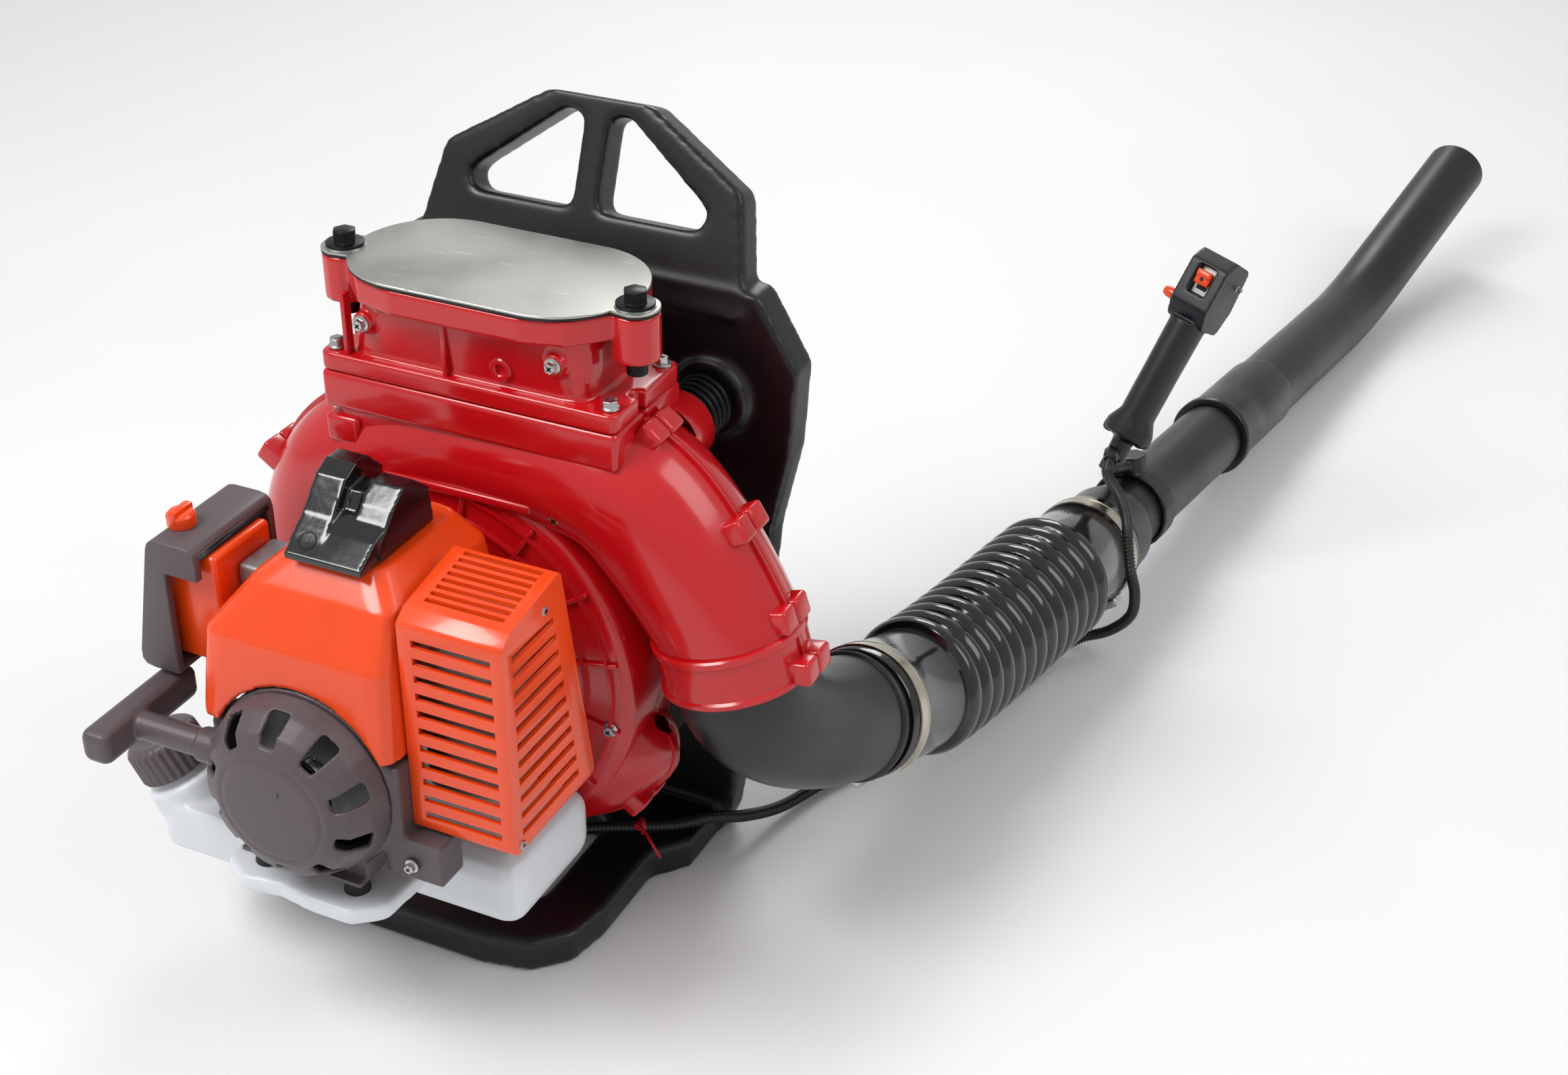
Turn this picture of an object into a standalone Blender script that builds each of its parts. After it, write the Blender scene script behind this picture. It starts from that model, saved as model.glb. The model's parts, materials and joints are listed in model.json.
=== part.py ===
"""Backpack leaf blower: a carrying frame with base, a spiral blower housing with its impeller, a two-stroke
engine with tank and recoil starter, and a jointed blower tube with a throttle handle.

X points to the wearer's right, Y forwards through the back pad, Z up. The origin is on the floor under
the front face of the upright. Lengths in this file are millimetres; the meshes are made in metres.
"""

import math

import bmesh
import bpy
from mathutils import Matrix, Vector

for old in list(bpy.data.objects):
    bpy.data.objects.remove(old, do_unlink=True)

MM = 0.001
GAP = 0.3            # between pieces that touch
RUN = 0.8            # between pieces that turn or slide in each other

# Crank and blower housing
CRANK_X = -30.0
CRANK_Z = 200.0
SEAM_Y = -97.0       # joint plane of the two housing halves
WALL = 3.5           # housing wall
DRUM_R = 137.0       # round middle of the housing
DRUM_HALF = 37.0     # its half depth
IMPELLER_R = 122.0
BLADES = 9
EYE_R = 60.0         # air intake in the rear half
DUCT_SIDES = 14

# Frame
FRAME_DEPTH = 26.0
CREASE_Z = 421.0     # above it the upright leans forwards
LEAN = 21.5          # degrees
BASE_FRONT = -192.0
BASE_LEFT = -185.0
BASE_RIGHT = 81.0
BASE_HEIGHT = 24.0
RIM = 44.0           # width of the base's rim

# Isolators between frame and housing
SPRING_X = 97.0
SPRING_Z = 351.0
SPRING_R = 18.0
SPRING_WIRE = 2.6
SPRING_TURNS = 4
SPRING_SEAT = 7.0    # how far the frame's seats stand out
SPRING_CUP = -41.0   # bottom of the housing's cups
ISOLATOR_X = 72.0
ISOLATOR_Z = 112.0
ISOLATOR_R = 17.0
DUCT_LOW_R = 36.0    # the duct's radius behind the rubber blocks

# Harness
PAD_T = 22.0
STRAP_WIDTH = 48.0
STRAP_T = 8.0
STRAP_ROUTE = [(50, 10, 404), (56, 32, 404), (60, 52, 380), (62, 62, 330),   # Y from the frame's back
               (62, 64, 270), (66, 54, 190), (72, 36, 125), (78, 10, 80)]

# Top flange, adapter and blanking plate
FLANGE_X = 103.0
FLANGE_BACK = -52.0
FLANGE_FRONT = -136.0
FLANGE_Z = 388.0     # face between housing and adapter
FLANGE_T = 12.0
SCREW_X = 95.0
SCREW_INSET = 9.5
SCREW_HOLE = 3.0
RIM_Z = 454.0
PLATE_HALF = 97.0
PLATE_R = 53.5
PLATE_Y = -89.0
EAR_X = 100.0
EAR_R = 15.0
EAR_H = 30.0
EAR_Y = SEAM_Y - 5.0
BOLT_R = 4.0
BOLT_HOLE = 4.6
WASHER_R = 12.0
PLATE_T = 1.6
GASKET_T = 1.2

# Engine
CYLINDER_Y = -215.0
STARTER_FRONT = -320.0
STARTER_R = 61.0
HOUSING_R = 62.0     # ring round the flywheel
COVER_BOTTOM = 228.0
TANK_TOP = 124.0
TANK_BOTTOM = 78.0
MOUNT_H = 10.0
MOUNT_R = 8.5
MOUNT_XS = (-68.0, -3.0)
MOUNT_Y = -283.0
SHAFT_R = 8.0
JOURNAL_R = 14.0
STARTER_VENTS = 10
GRIP_X = -148.0
GRIP_Z = 213.0
ROPE_Y = -297.0
SNOUT_X = -94.0      # face of the rope guide
CAP_AXIS = Vector((-0.42, -0.12, 0.90)).normalized()
CAP_CENTRE = Vector((-166.0, -236.0, 122.0))
VENT_PITCH = 12.0    # of the slots in the muffler guard
VENT = 5.0

# Duct
OUTLET = Vector((164.0, SEAM_Y, 218.0))            # centre of the outlet collar's lower face
OUTLET_TILT = 13.6                                 # degrees from straight down, outwards
ELBOW_R = 43.0
ELBOW_WALL = 3.0
OUTLET_R = ELBOW_R + 3.0
COLLAR_R = OUTLET_R + WALL
COLLAR_H = 32.0
CUFF_R = ELBOW_R + 3.0
CUFF = 14.0          # how far the hose's cuffs reach beyond the clamps
HOSE_R = 51.5
HOSE_PITCH = 17.0
HOSE_TURNS = 13
HOSE_DEEP = 6.0      # of its ribs
HOSE_BORE = 42.5
SPIGOT = 30.0        # length of the elbow's spigot beyond the near clamp
HOSE_START = Vector((198.0, 30.0, 118.0))          # on the near clamp's axis
HOSE_IN = Vector((0.15, 0.94, -0.30)).normalized()
HOSE_END = Vector((248.0, 363.0, 77.5))            # on the far clamp's axis
HOSE_OUT = Vector((0.15, 0.985, -0.09)).normalized()
TUBE_HEEL = Vector((322.0, 1012.0, 32.0))          # where the nozzle starts to bend
NOZZLE_TIP = Vector((371.0, 1270.0, 104.0))
HANDLE_TUBE_R = 39.0
FAR_CUFF_R = HANDLE_TUBE_R + 3.3
NECK_R = 30.4        # handle tube beyond its shoulder
TUBE_R = 33.4        # coupling tube between the handle tube and the nozzle
TUBE_WALL = 2.4
TUBE_SIDES = 20      # every round of the duct has this many, so that they nest
NOZZLE_R = 31.0
COUPLING = (270.0, 395.0)   # the coupling tube's ends, from the far hose clamp
OVERLAP = 50.0       # of the tubes in each other

# Control handle
HANDLE_BASE = Vector((247.0, 429.0, 130.0))
HANDLE_HEAD = Vector((294.0, 495.0, 267.0))
RING_AT = 98.0       # clamp ring, from the far hose clamp
FACE_TURN = 22.0     # degrees that the switch face turns away from the blower's front
RING_HALF = 11.0     # half the clamp ring's length

# Throttle conduit: its route from the handle to its gland; it passes from body to body at two of its points
CONDUIT_R = 4.5
CONDUIT_GAP = 0.8
CONDUIT_ROUTE = [(248, 414.5, 135.5), (250, 402, 130.5), (259, 386, 131), (271, 369, 130.5), (283, 350, 124),
                 (291, 331, 116), (299, 318, 97), (303, 322, 75), (299, 332, 48), (281, 340, 24), (258,
                                                                                                   338, 11),
                 (240, 310, 6), (226, 260, 5), (208, 210, 5), (186, 160, 5), (165, 120, 5), (146, 80, 5),
                 (132, 38, 8), (119, 4, 19), (105, -22, 31), (88, -42, 33), (66, -62, 38), (42, -84, 44),
                 (14, -108, 46), (-12, -131, 50), (-25, -142, 66), (-30, -143, 92), (-30, -143, 118)]
CONDUIT_BREAKS = (5, 15)
GLAND = Vector((CRANK_X, -143.0, 118.0))           # where it enters the engine


# ---------------------------------------------------------------- helpers

def finish(name, colour, roughness, metallic=0.0):
    """A Principled material of one colour."""
    material = bpy.data.materials.new(name)
    material.use_nodes = True
    shader = material.node_tree.nodes["Principled BSDF"]
    shader.inputs["Base Color"].default_value = (*colour, 1.0)
    shader.inputs["Roughness"].default_value = roughness
    shader.inputs["Metallic"].default_value = metallic
    material.diffuse_color = (*colour, 1.0)
    return material


RED = finish("red_moulding", (0.62, 0.02, 0.02), 0.25)
ORANGE = finish("orange_moulding", (0.90, 0.12, 0.01), 0.28)
BLACK = finish("black_moulding", (0.012, 0.012, 0.016), 0.35)
GREY = finish("grey_moulding", (0.10, 0.085, 0.085), 0.40)
RUBBER = finish("black_rubber", (0.02, 0.02, 0.02), 0.75)
WHITE = finish("tank_white", (0.80, 0.82, 0.84), 0.35)
STEEL = finish("steel", (0.62, 0.62, 0.60), 0.30, 1.0)
ALLOY = finish("cast_alloy", (0.50, 0.50, 0.51), 0.45, 1.0)
FABRIC = finish("webbing", (0.02, 0.02, 0.022), 0.9)


def part(name, mesh, material, guide=False):
    """Turns a bmesh in millimetres into a named object; a guide is only used to shape other pieces."""
    bmesh.ops.recalc_face_normals(mesh, faces=mesh.faces)
    bmesh.ops.scale(mesh, vec=(MM, MM, MM), verts=mesh.verts)
    data = bpy.data.meshes.new(name)
    mesh.to_mesh(data)
    mesh.free()
    data.shade_smooth()
    data.set_sharp_from_angle(angle=math.radians(35))
    piece = bpy.data.objects.new(name, data)
    bpy.context.scene.collection.objects.link(piece)
    data.materials.append(material)
    if guide:
        piece.hide_render = True
        piece.display_type = "WIRE"
    return piece


def boolean(piece, mesh, how):
    """Cuts piece with a bmesh, or joins that bmesh to it."""
    tool = part(piece.name + "_" + how.lower(), mesh, piece.data.materials[0], guide=True)
    step = piece.modifiers.new(how.title(), "BOOLEAN")
    step.operation = how
    step.solver = "EXACT"
    step.object = tool
    return piece


def cut(piece, *meshes):
    for mesh in meshes:
        boolean(piece, mesh, "DIFFERENCE")
    return piece


def join(piece, *meshes):
    for mesh in meshes:
        boolean(piece, mesh, "UNION")
    return piece


def loft(rings, wrap=False):
    """Skins rings of equal length; ends are capped, or the last ring meets the first."""
    mesh = bmesh.new()
    loops = [[mesh.verts.new(point) for point in ring] for ring in rings]
    following = loops[1:] + loops[:1] if wrap else loops[1:]
    for near, far in zip(loops, following):
        for i in range(len(near)):
            mesh.faces.new((near[i], near[i - 1], far[i - 1], far[i]))
    if not wrap:
        mesh.faces.new(loops[0])
        mesh.faces.new(list(reversed(loops[-1])))
    return mesh


def basis(direction, up=Vector((0, 0, 1))):
    """Two unit vectors square to direction and to each other."""
    ahead = direction.normalized()
    side = ahead.cross(up)
    if side.length < 1e-3:
        side = ahead.cross(Vector((0, 1, 0)))
    side.normalize()
    return side, side.cross(ahead)


def circle(centre, direction, radius, sides, up=Vector((0, 0, 1))):
    side, rise = basis(direction, up)
    angles = [2 * math.pi * i / sides for i in range(sides)]
    return [centre + radius * (math.cos(a) * side + math.sin(a) * rise) for a in angles]


def directions(path):
    """The direction of travel at each point of a path."""
    result = []
    for i in range(len(path)):
        near = path[max(i - 1, 0)]
        far = path[min(i + 1, len(path) - 1)]
        result.append((far - near).normalized())
    return result


def sweep(path, radii, sides=20, up=Vector((0, 0, 1))):
    """A round bar along a path, its radius given at each point."""
    if not isinstance(radii, (list, tuple)):
        radii = [radii] * len(path)
    rings = [circle(p, d, r, sides, up) for p, d, r in zip(path, directions(path), radii)]
    return loft(rings)


def pipe(path, outer, inner, sides=24, up=Vector((0, 0, 1))):
    """A tube along a path; outer and inner radii are given once or at each point."""
    if not isinstance(outer, (list, tuple)):
        outer = [outer] * len(path)
    if not isinstance(inner, (list, tuple)):
        inner = [inner] * len(path)
    ways = directions(path)
    outside = [circle(p, d, r, sides, up) for p, d, r in zip(path, ways, outer)]
    inside = [circle(p, d, r, sides, up) for p, d, r in zip(path, ways, inner)]
    return loft(outside + list(reversed(inside)), wrap=True)


def turned(profile, centre, axis, sides=20, hollow=False):
    """A turned piece: profile holds (radius, height along axis); hollow closes the profile on itself."""
    ahead = Vector(axis).normalized()
    rings = [circle(Vector(centre) + ahead * h, ahead, r, sides) for r, h in profile]
    return loft(rings, wrap=hollow)


def bar(start, end, radius, sides=12):
    start, end = Vector(start), Vector(end)
    return turned([(radius, 0), (radius, (end - start).length)], start, end - start, sides)


def place(axis, a, b, c):
    """A point from its two outline coordinates and its height along the axis."""
    return {"X": Vector((c, a, b)), "Y": Vector((a, c, b)), "Z": Vector((a, b, c))}[axis]


def prism(outline, axis, low, high):
    """An outline extruded along an axis; the outline is in the other two axes, in X, Y, Z order."""
    return loft([[place(axis, a, b, h) for a, b in outline] for h in (low, high)])


def rounded(outline, radius, steps=3):
    """The outline with each corner replaced by an arc; radius is one value or one for each corner."""
    radii = radius if isinstance(radius, (list, tuple)) else [radius] * len(outline)
    result = []
    for i, corner in enumerate(outline):
        here = Vector(corner)
        before = Vector(outline[i - 1]) - here
        after = Vector(outline[(i + 1) % len(outline)]) - here
        half = before.angle(after) / 2
        reach = min(radii[i] / math.tan(half), 0.48 * before.length, 0.48 * after.length)
        if reach < 0.05:
            result.append(tuple(here))
            continue
        first = here + before.normalized() * reach
        last = here + after.normalized() * reach
        for k in range(steps + 1):
            t = k / steps
            result.append(tuple((1 - t) ** 2 * first + 2 * t * (1 - t) * here + t ** 2 * last))
    return result


def mirrored(half):
    """A closed outline from its right half, listed from bottom to top."""
    return list(half) + [(-a, b) for a, b in reversed(half)]


def block(low, high, bevel=0.0):
    """A box between two corners, its edges rounded by bevel."""
    (x0, y0, z0), (x1, y1, z1) = low, high
    mesh = prism([(x0, y0), (x1, y0), (x1, y1), (x0, y1)], "Z", z0, z1)
    if bevel:
        bmesh.ops.bevel(mesh, geom=mesh.edges[:], offset=bevel, segments=2, profile=0.5, affect="EDGES")
    return mesh


def stadium(half_length, radius, centre, steps=6):
    """A slot-shaped outline along X."""
    points = []
    for side in (1, -1):
        for k in range(steps + 1):
            a = -math.pi / 2 + math.pi * k / steps
            points.append((centre[0] + side * (half_length - radius + radius * math.cos(a)),
                           centre[1] + side * radius * math.sin(a)))
    return points


def smooth_path(points, count):
    """Points along a Catmull-Rom curve through the given ones."""
    ends = [points[0] * 2 - points[1]] + list(points) + [points[-1] * 2 - points[-2]]
    spans = len(points) - 1
    path = []
    for k in range(count):
        place_on = spans * k / (count - 1)
        i = min(int(place_on), spans - 1)
        t = place_on - i
        a, b, c, d = ends[i:i + 4]
        path.append(0.5 * ((2 * b) + (c - a) * t + (2 * a - 5 * b + 4 * c - d) * t ** 2
                           + (3 * b - a - 3 * c + d) * t ** 3))
    return path


def running(radius):
    """The bore in which a facetted tube of this radius can turn."""
    return radius / math.cos(math.pi / TUBE_SIDES) + GAP


def merged(*meshes):
    """Several separate closed shapes in one bmesh, for a cutter."""
    whole = bmesh.new()
    for mesh in meshes:
        data = bpy.data.meshes.new("merge")
        mesh.to_mesh(data)
        mesh.free()
        whole.from_mesh(data)
        bpy.data.meshes.remove(data)
    return whole


def pivot(name, point):
    """An empty on a joint's axis, which carries the pieces that the joint moves."""
    empty = bpy.data.objects.new(name, None)
    empty.location = Vector(point) * MM
    bpy.context.scene.collection.objects.link(empty)
    return empty


def carry(empty, *pieces):
    for piece in pieces:
        piece.parent = empty
        piece.location = -empty.location


def crank(y):
    """The point of the crank's axis at depth y."""
    return Vector((CRANK_X, y, CRANK_Z))


# ---------------------------------------------------------------- carrying frame

def build_frame():
    lower = mirrored([(101, 0), (108, 16), (124, 120), (139, 259), (153, 320), (157, 378), (129, 426)])
    frame = part("back_frame", prism(rounded(lower, 10), "Y", 0, FRAME_DEPTH), BLACK)
    upper = rounded(mirrored([(119, -14), (118, 8), (107, 65), (37, 108)]), 10)
    hole = rounded([(9, 37), (82, 37), (86, 50), (22, 99), (9, 95)], 8)
    panel = prism(upper, "Y", 0, FRAME_DEPTH)
    holes = [prism([(side * a, b) for a, b in hole], "Y", -20, FRAME_DEPTH + 20) for side in (1, -1)]
    lean = Matrix.Translation((0, 0, CREASE_Z)) @ Matrix.Rotation(math.radians(-LEAN), 4, "X")
    for mesh in [panel] + holes:
        bmesh.ops.transform(mesh, matrix=lean, verts=mesh.verts)
    outer = [(BASE_LEFT, 4), (BASE_LEFT, BASE_FRONT), (BASE_RIGHT, BASE_FRONT), (BASE_RIGHT, -66),
             (100, -44), (100, 4), (100, FRAME_DEPTH - 4), (-100, FRAME_DEPTH - 4), (-108, 4)]
    base = prism(rounded(outer, [26, 66, 66, 12, 8, 1, 1, 1, 8]), "Z", 0, BASE_HEIGHT)
    window = [(BASE_LEFT + RIM, -42), (BASE_LEFT + RIM, BASE_FRONT + RIM),
              (BASE_RIGHT - RIM, BASE_FRONT + RIM), (BASE_RIGHT - RIM, -42)]
    opening = prism(rounded(window, 20), "Z", -10, BASE_HEIGHT + 10)
    join(frame, panel, base)
    cut(frame, *holes, opening)
    seats = [bar((x, -SPRING_SEAT, SPRING_Z), (x, 3, SPRING_Z), SPRING_R + 9, 24) for x in (-SPRING_X,
                                                                                            SPRING_X)]
    join(frame, *seats)


def rubber_seat():
    """Depth of the housing's two flat seats, which stand out from the deeper of the drum and the duct."""
    return SEAM_Y + max(DRUM_HALF, DUCT_LOW_R) + 1


def build_isolators():
    """Two coil springs at the top and two rubber blocks at the bottom carry the machine on the frame."""
    steps = 10                                      # straight lengths in each turn of a coil
    low, high = SPRING_CUP + SPRING_WIRE, -SPRING_SEAT - GAP - SPRING_WIRE
    for name, x in (("isolator_spring_left", -SPRING_X), ("isolator_spring_right", SPRING_X)):
        path = []
        for k in range(SPRING_TURNS * steps + 1):
            a = 2 * math.pi * k / steps
            y = low + (high - low) * k / (SPRING_TURNS * steps)
            path.append(Vector((x + SPRING_R * math.cos(a), y, SPRING_Z + SPRING_R * math.sin(a))))
        part(name, sweep(path, SPRING_WIRE, 4, up=Vector((0, 1, 0))), STEEL)
    back = rubber_seat() + GAP
    reach = -GAP - back
    for name, x in (("isolator_rubber_left", -ISOLATOR_X), ("isolator_rubber_right", ISOLATOR_X)):
        waist = ISOLATOR_R - 3
        profile = [(ISOLATOR_R, 0), (ISOLATOR_R, 6), (waist, 16), (waist, reach - 19),
                   (ISOLATOR_R, reach - 9), (ISOLATOR_R, reach)]
        part(name, turned(profile, (x, back, ISOLATOR_Z), (0, 1, 0), 20), RUBBER)


def strap_path(side):
    """One shoulder strap from the upper frame, out around the shoulder and back to the frame's foot."""
    return smooth_path([Vector((side * x, FRAME_DEPTH + y, z)) for x, y, z in STRAP_ROUTE], 24)


def build_harness():
    pad = rounded(mirrored([(78, 110), (92, 150), (88, 300), (70, 396)]), 22)
    part("back_pad", prism(pad, "Y", FRAME_DEPTH + GAP, FRAME_DEPTH + PAD_T), FABRIC)
    for name, side in (("shoulder_strap_left", -1), ("shoulder_strap_right", 1)):
        path = strap_path(side)
        across = Vector((STRAP_WIDTH / 2, 0, 0))
        rings = []
        for point, way in zip(path, directions(path)):
            out = way.cross(across).normalized() * STRAP_T / 2
            rings.append([point - across - out, point + across - out,
                          point + across + out, point - across + out])
        part(name, loft(rings), FABRIC)


# ---------------------------------------------------------------- blower housing

def scroll():
    """The duct's centres and outer radii, from the closed end under the outlet round to the outlet."""
    stations = [(-27, 132, 30), (-45, 125, 32), (-65, 116, 33), (-90, 108, 33), (-115, 104, 34),
                (-140, 104, 36), (-165, 108, 38), (-190, 115, 39), (-208, 123, 40), (-225, 131, 41),
                (-240, 135, 41.5), (-258, 136, 42), (-275, 140, 42), (-290, 149, 43), (-301, 163, 44.5),
                (-313, 180, 48), (-327, 184, 48)]
    path, radii = [], []
    for angle, reach, radius in stations:
        a = math.radians(angle)
        path.append(Vector((CRANK_X + reach * math.cos(a), SEAM_Y, CRANK_Z + reach * math.sin(a))))
        radii.append(radius)
    return path, radii


def outlet_way():
    a = math.radians(OUTLET_TILT)
    return Vector((math.sin(a), 0, -math.cos(a)))


def duct_solid(offset, run_out):
    """The scroll as a solid; offset grows its radius, run_out carries it past the outlet's face."""
    path, radii = scroll()
    way = outlet_way()
    path += [OUTLET - way * COLLAR_H, OUTLET + way * run_out]
    radii += [OUTLET_R, OUTLET_R]
    radii = [r + offset for r in radii]
    first = (path[0] - path[1]).normalized()
    cap_path, cap_radii = [], []
    for k in (2, 1):
        a = math.radians(36 * k)
        cap_path.append(path[0] + first * radii[0] * math.sin(a))
        cap_radii.append(radii[0] * math.cos(a))
    ways = [-first] * 2 + directions(path)
    rings = [circle(p, d, r, DUCT_SIDES, Vector((0, 1, 0)))
             for p, d, r in zip(cap_path + path, ways, cap_radii + radii)]
    return loft(rings)


def beyond_seam(front):
    """What one half of the housing leaves to the other."""
    if front:
        return block((-400, SEAM_Y - GAP / 2, -100), (400, 300, 600))
    return block((-400, -400, -100), (400, SEAM_Y + GAP / 2, 600))


def lugs(front):
    """Screw bosses along the seam."""
    way = outlet_way()
    across = Vector((-way.z, 0, way.x))
    outlet = [OUTLET - way * 8.3 + across * (COLLAR_R + 1), OUTLET - way * 43 + across * (OUTLET_R - 2.7)]
    spots = [(110, 376), (167, 325), (-170, 299), (-182, 190), (-134, 98), (-38, 56), (92, 100)]
    spots += [(spot.x, spot.z) for spot in outlet]
    low, high = (SEAM_Y - 13, SEAM_Y + 2) if front else (SEAM_Y - 2, SEAM_Y + 16)
    return [bar((x, low, z), (x, high, z), 8, 8) for x, z in spots]


def build_volute():
    """Two half shells; the front one faces the engine, the rear one holds the intake eye."""
    way = outlet_way()
    drum_low, drum_high = SEAM_Y - DRUM_HALF, SEAM_Y + DRUM_HALF
    for name, front in (("volute_front", True), ("volute_rear", False)):
        shell = part(name, duct_solid(0, 0), RED)
        drum = turned([(DRUM_R - 6, 0), (DRUM_R, 6), (DRUM_R, 2 * DRUM_HALF - 6),
                       (DRUM_R - 6, 2 * DRUM_HALF)], crank(drum_low), (0, 1, 0), 32)
        collar = bar(OUTLET - way * COLLAR_H, OUTLET, COLLAR_R, 24)
        top = block((-FLANGE_X, FLANGE_FRONT, 362), (FLANGE_X, FLANGE_BACK, FLANGE_Z - GAP))
        join(shell, drum, collar, top, merged(*lugs(front)))
        if front:
            corners = [block((x - 12, FLANGE_FRONT, 344), (x + 12, FLANGE_FRONT + 26, 372))
                       for x in (-SCREW_X + 4, SCREW_X - 4)]
            join(shell, merged(*corners))
            cut(shell, bar(crank(drum_low - 16), crank(drum_low + 24), JOURNAL_R + 2, 20),
                merged(*screw_notches()))
        else:
            cups = [bar((x, SPRING_CUP - 25, SPRING_Z), (x, SPRING_CUP - GAP, SPRING_Z), SPRING_R + 5, 16)
                    for x in (-SPRING_X, SPRING_X)]
            seats = [bar((x, SEAM_Y + 8, ISOLATOR_Z), (x, rubber_seat(), ISOLATOR_Z), ISOLATOR_R + 2, 20)
                     for x in (-ISOLATOR_X, ISOLATOR_X)]
            join(shell, merged(*cups), merged(*seats))
            cut(shell, bar(crank(drum_high - 20), crank(drum_high + 20), EYE_R, 28))
        cavity = turned([(DRUM_R - WALL, 0), (DRUM_R - WALL, 2 * (DRUM_HALF - WALL))],
                        crank(drum_low + WALL), (0, 1, 0), 32)
        socket = bar(OUTLET - way * (COLLAR_H - 6), OUTLET + way * 20, running(ELBOW_R), TUBE_SIDES)
        throat = block((-78, -124, 340), (78, -70, FLANGE_Z + 20))
        screws = [bar((x, y, 350), (x, y, 420), SCREW_HOLE, 8)
                  for x, y in screw_spots() if (y < SEAM_Y) == front]
        cut(shell, duct_solid(-WALL, 30), cavity, socket, throat, beyond_seam(front), merged(*screws))


def screw_spots():
    return [(x, y) for y in (FLANGE_FRONT + SCREW_INSET, FLANGE_BACK - SCREW_INSET)
            for x in (-SCREW_X, SCREW_X)]


def screw_notches():
    """Open pockets at the front corners, where the screws' shanks and nuts show."""
    result = []
    for side in (-1, 1):
        low, high = sorted((side * (SCREW_X - 8), side * (FLANGE_X + 20)))
        result.append(block((low, FLANGE_FRONT - 20, 358), (high, FLANGE_FRONT + 20, 376)))
    return result


def at_ears(low, high, radius):
    """An upright cylinder at each of the plate's two ears."""
    return merged(*[bar((x, EAR_Y, low), (x, EAR_Y, high), radius, 14) for x in (-EAR_X, EAR_X)])


def build_adapter():
    flange = [(-FLANGE_X, FLANGE_FRONT), (FLANGE_X, FLANGE_FRONT),
              (FLANGE_X, FLANGE_BACK), (-FLANGE_X, FLANGE_BACK)]
    neck = part("adapter_neck", prism(rounded(flange, 7), "Z", FLANGE_Z, FLANGE_Z + FLANGE_T), RED)
    low = rounded([(-86, -128), (82, -128), (82, -60), (-86, -60)], 14, 4)
    high = rounded([(-80, -132), (80, -132), (80, -60), (-80, -60)], 24, 4)
    body = loft([[Vector((x, y, FLANGE_Z + 4)) for x, y in low],
                 [Vector((x, y, RIM_Z - 10)) for x, y in high]])
    rim = prism(stadium(PLATE_HALF, PLATE_R, (0, PLATE_Y)), "Z", RIM_Z - 16, RIM_Z)
    ears = at_ears(RIM_Z - EAR_H, RIM_Z, EAR_R)
    bosses = merged(*[bar((x, -134, 424), (x, -120, 424), 7, 14) for x in (-70, 62)])
    join(neck, body, rim, ears, bosses)
    inside = prism(rounded([(-76, -122), (74, -122), (74, -68), (-76, -68)], 14), "Z",
                   FLANGE_Z - 10, RIM_Z + 10)
    bolts = at_ears(FLANGE_Z - 8, RIM_Z + 26, BOLT_HOLE)
    screws = merged(*[bar((x, y, 370), (x, y, 420), SCREW_HOLE, 12) for x, y in screw_spots()])
    cut(neck, inside, bolts, screws)


def build_top_plate():
    """Gasket, blanking plate and its two bolts."""
    level = RIM_Z
    for name, thick, material in (("plate_gasket", GASKET_T, RUBBER), ("blanking_plate", PLATE_T, STEEL)):
        low, high = level + GAP, level + GAP + thick
        sheet = part(name, prism(stadium(PLATE_HALF, PLATE_R, (0, PLATE_Y)), "Z", low, high), material)
        join(sheet, at_ears(low, high, EAR_R))
        cut(sheet, at_ears(low - 5, high + 5, BOLT_HOLE))
        level = high
    for name, x in (("plate_bolt_left", -EAR_X), ("plate_bolt_right", EAR_X)):
        foot, seat = RIM_Z - EAR_H - GAP, level + GAP
        profile = [(6.5, foot - 10), (6.5, foot), (BOLT_R, foot), (BOLT_R, seat), (WASHER_R, seat),
                   (WASHER_R, seat + 2)]
        bolt = part(name, turned(profile, (x, EAR_Y, 0), (0, 0, 1), 20), BLACK)
        join(bolt, turned([(7.5, level + 1), (7.5, level + 10)], (x, EAR_Y, 0), (0, 0, 1), 6))
    spots = screw_spots()
    for name, (x, y) in (("flange_screw_left", spots[0]), ("flange_screw_right", spots[1])):
        top = FLANGE_Z + FLANGE_T + GAP
        profile = [(2.5, 356), (2.5, top), (5.5, top), (5.5, top + 1.5)]
        screw = part(name, turned(profile, (x, y, 0), (0, 0, 1), 14), STEEL)
        join(screw, turned([(4.8, top + 1), (4.8, top + 6)], (x, y, 0), (0, 0, 1), 6),
             block((x - 4.5, y - 4.5, 359), (x + 4.5, y + 4.5, 364)))


# ---------------------------------------------------------------- rotating group

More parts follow.
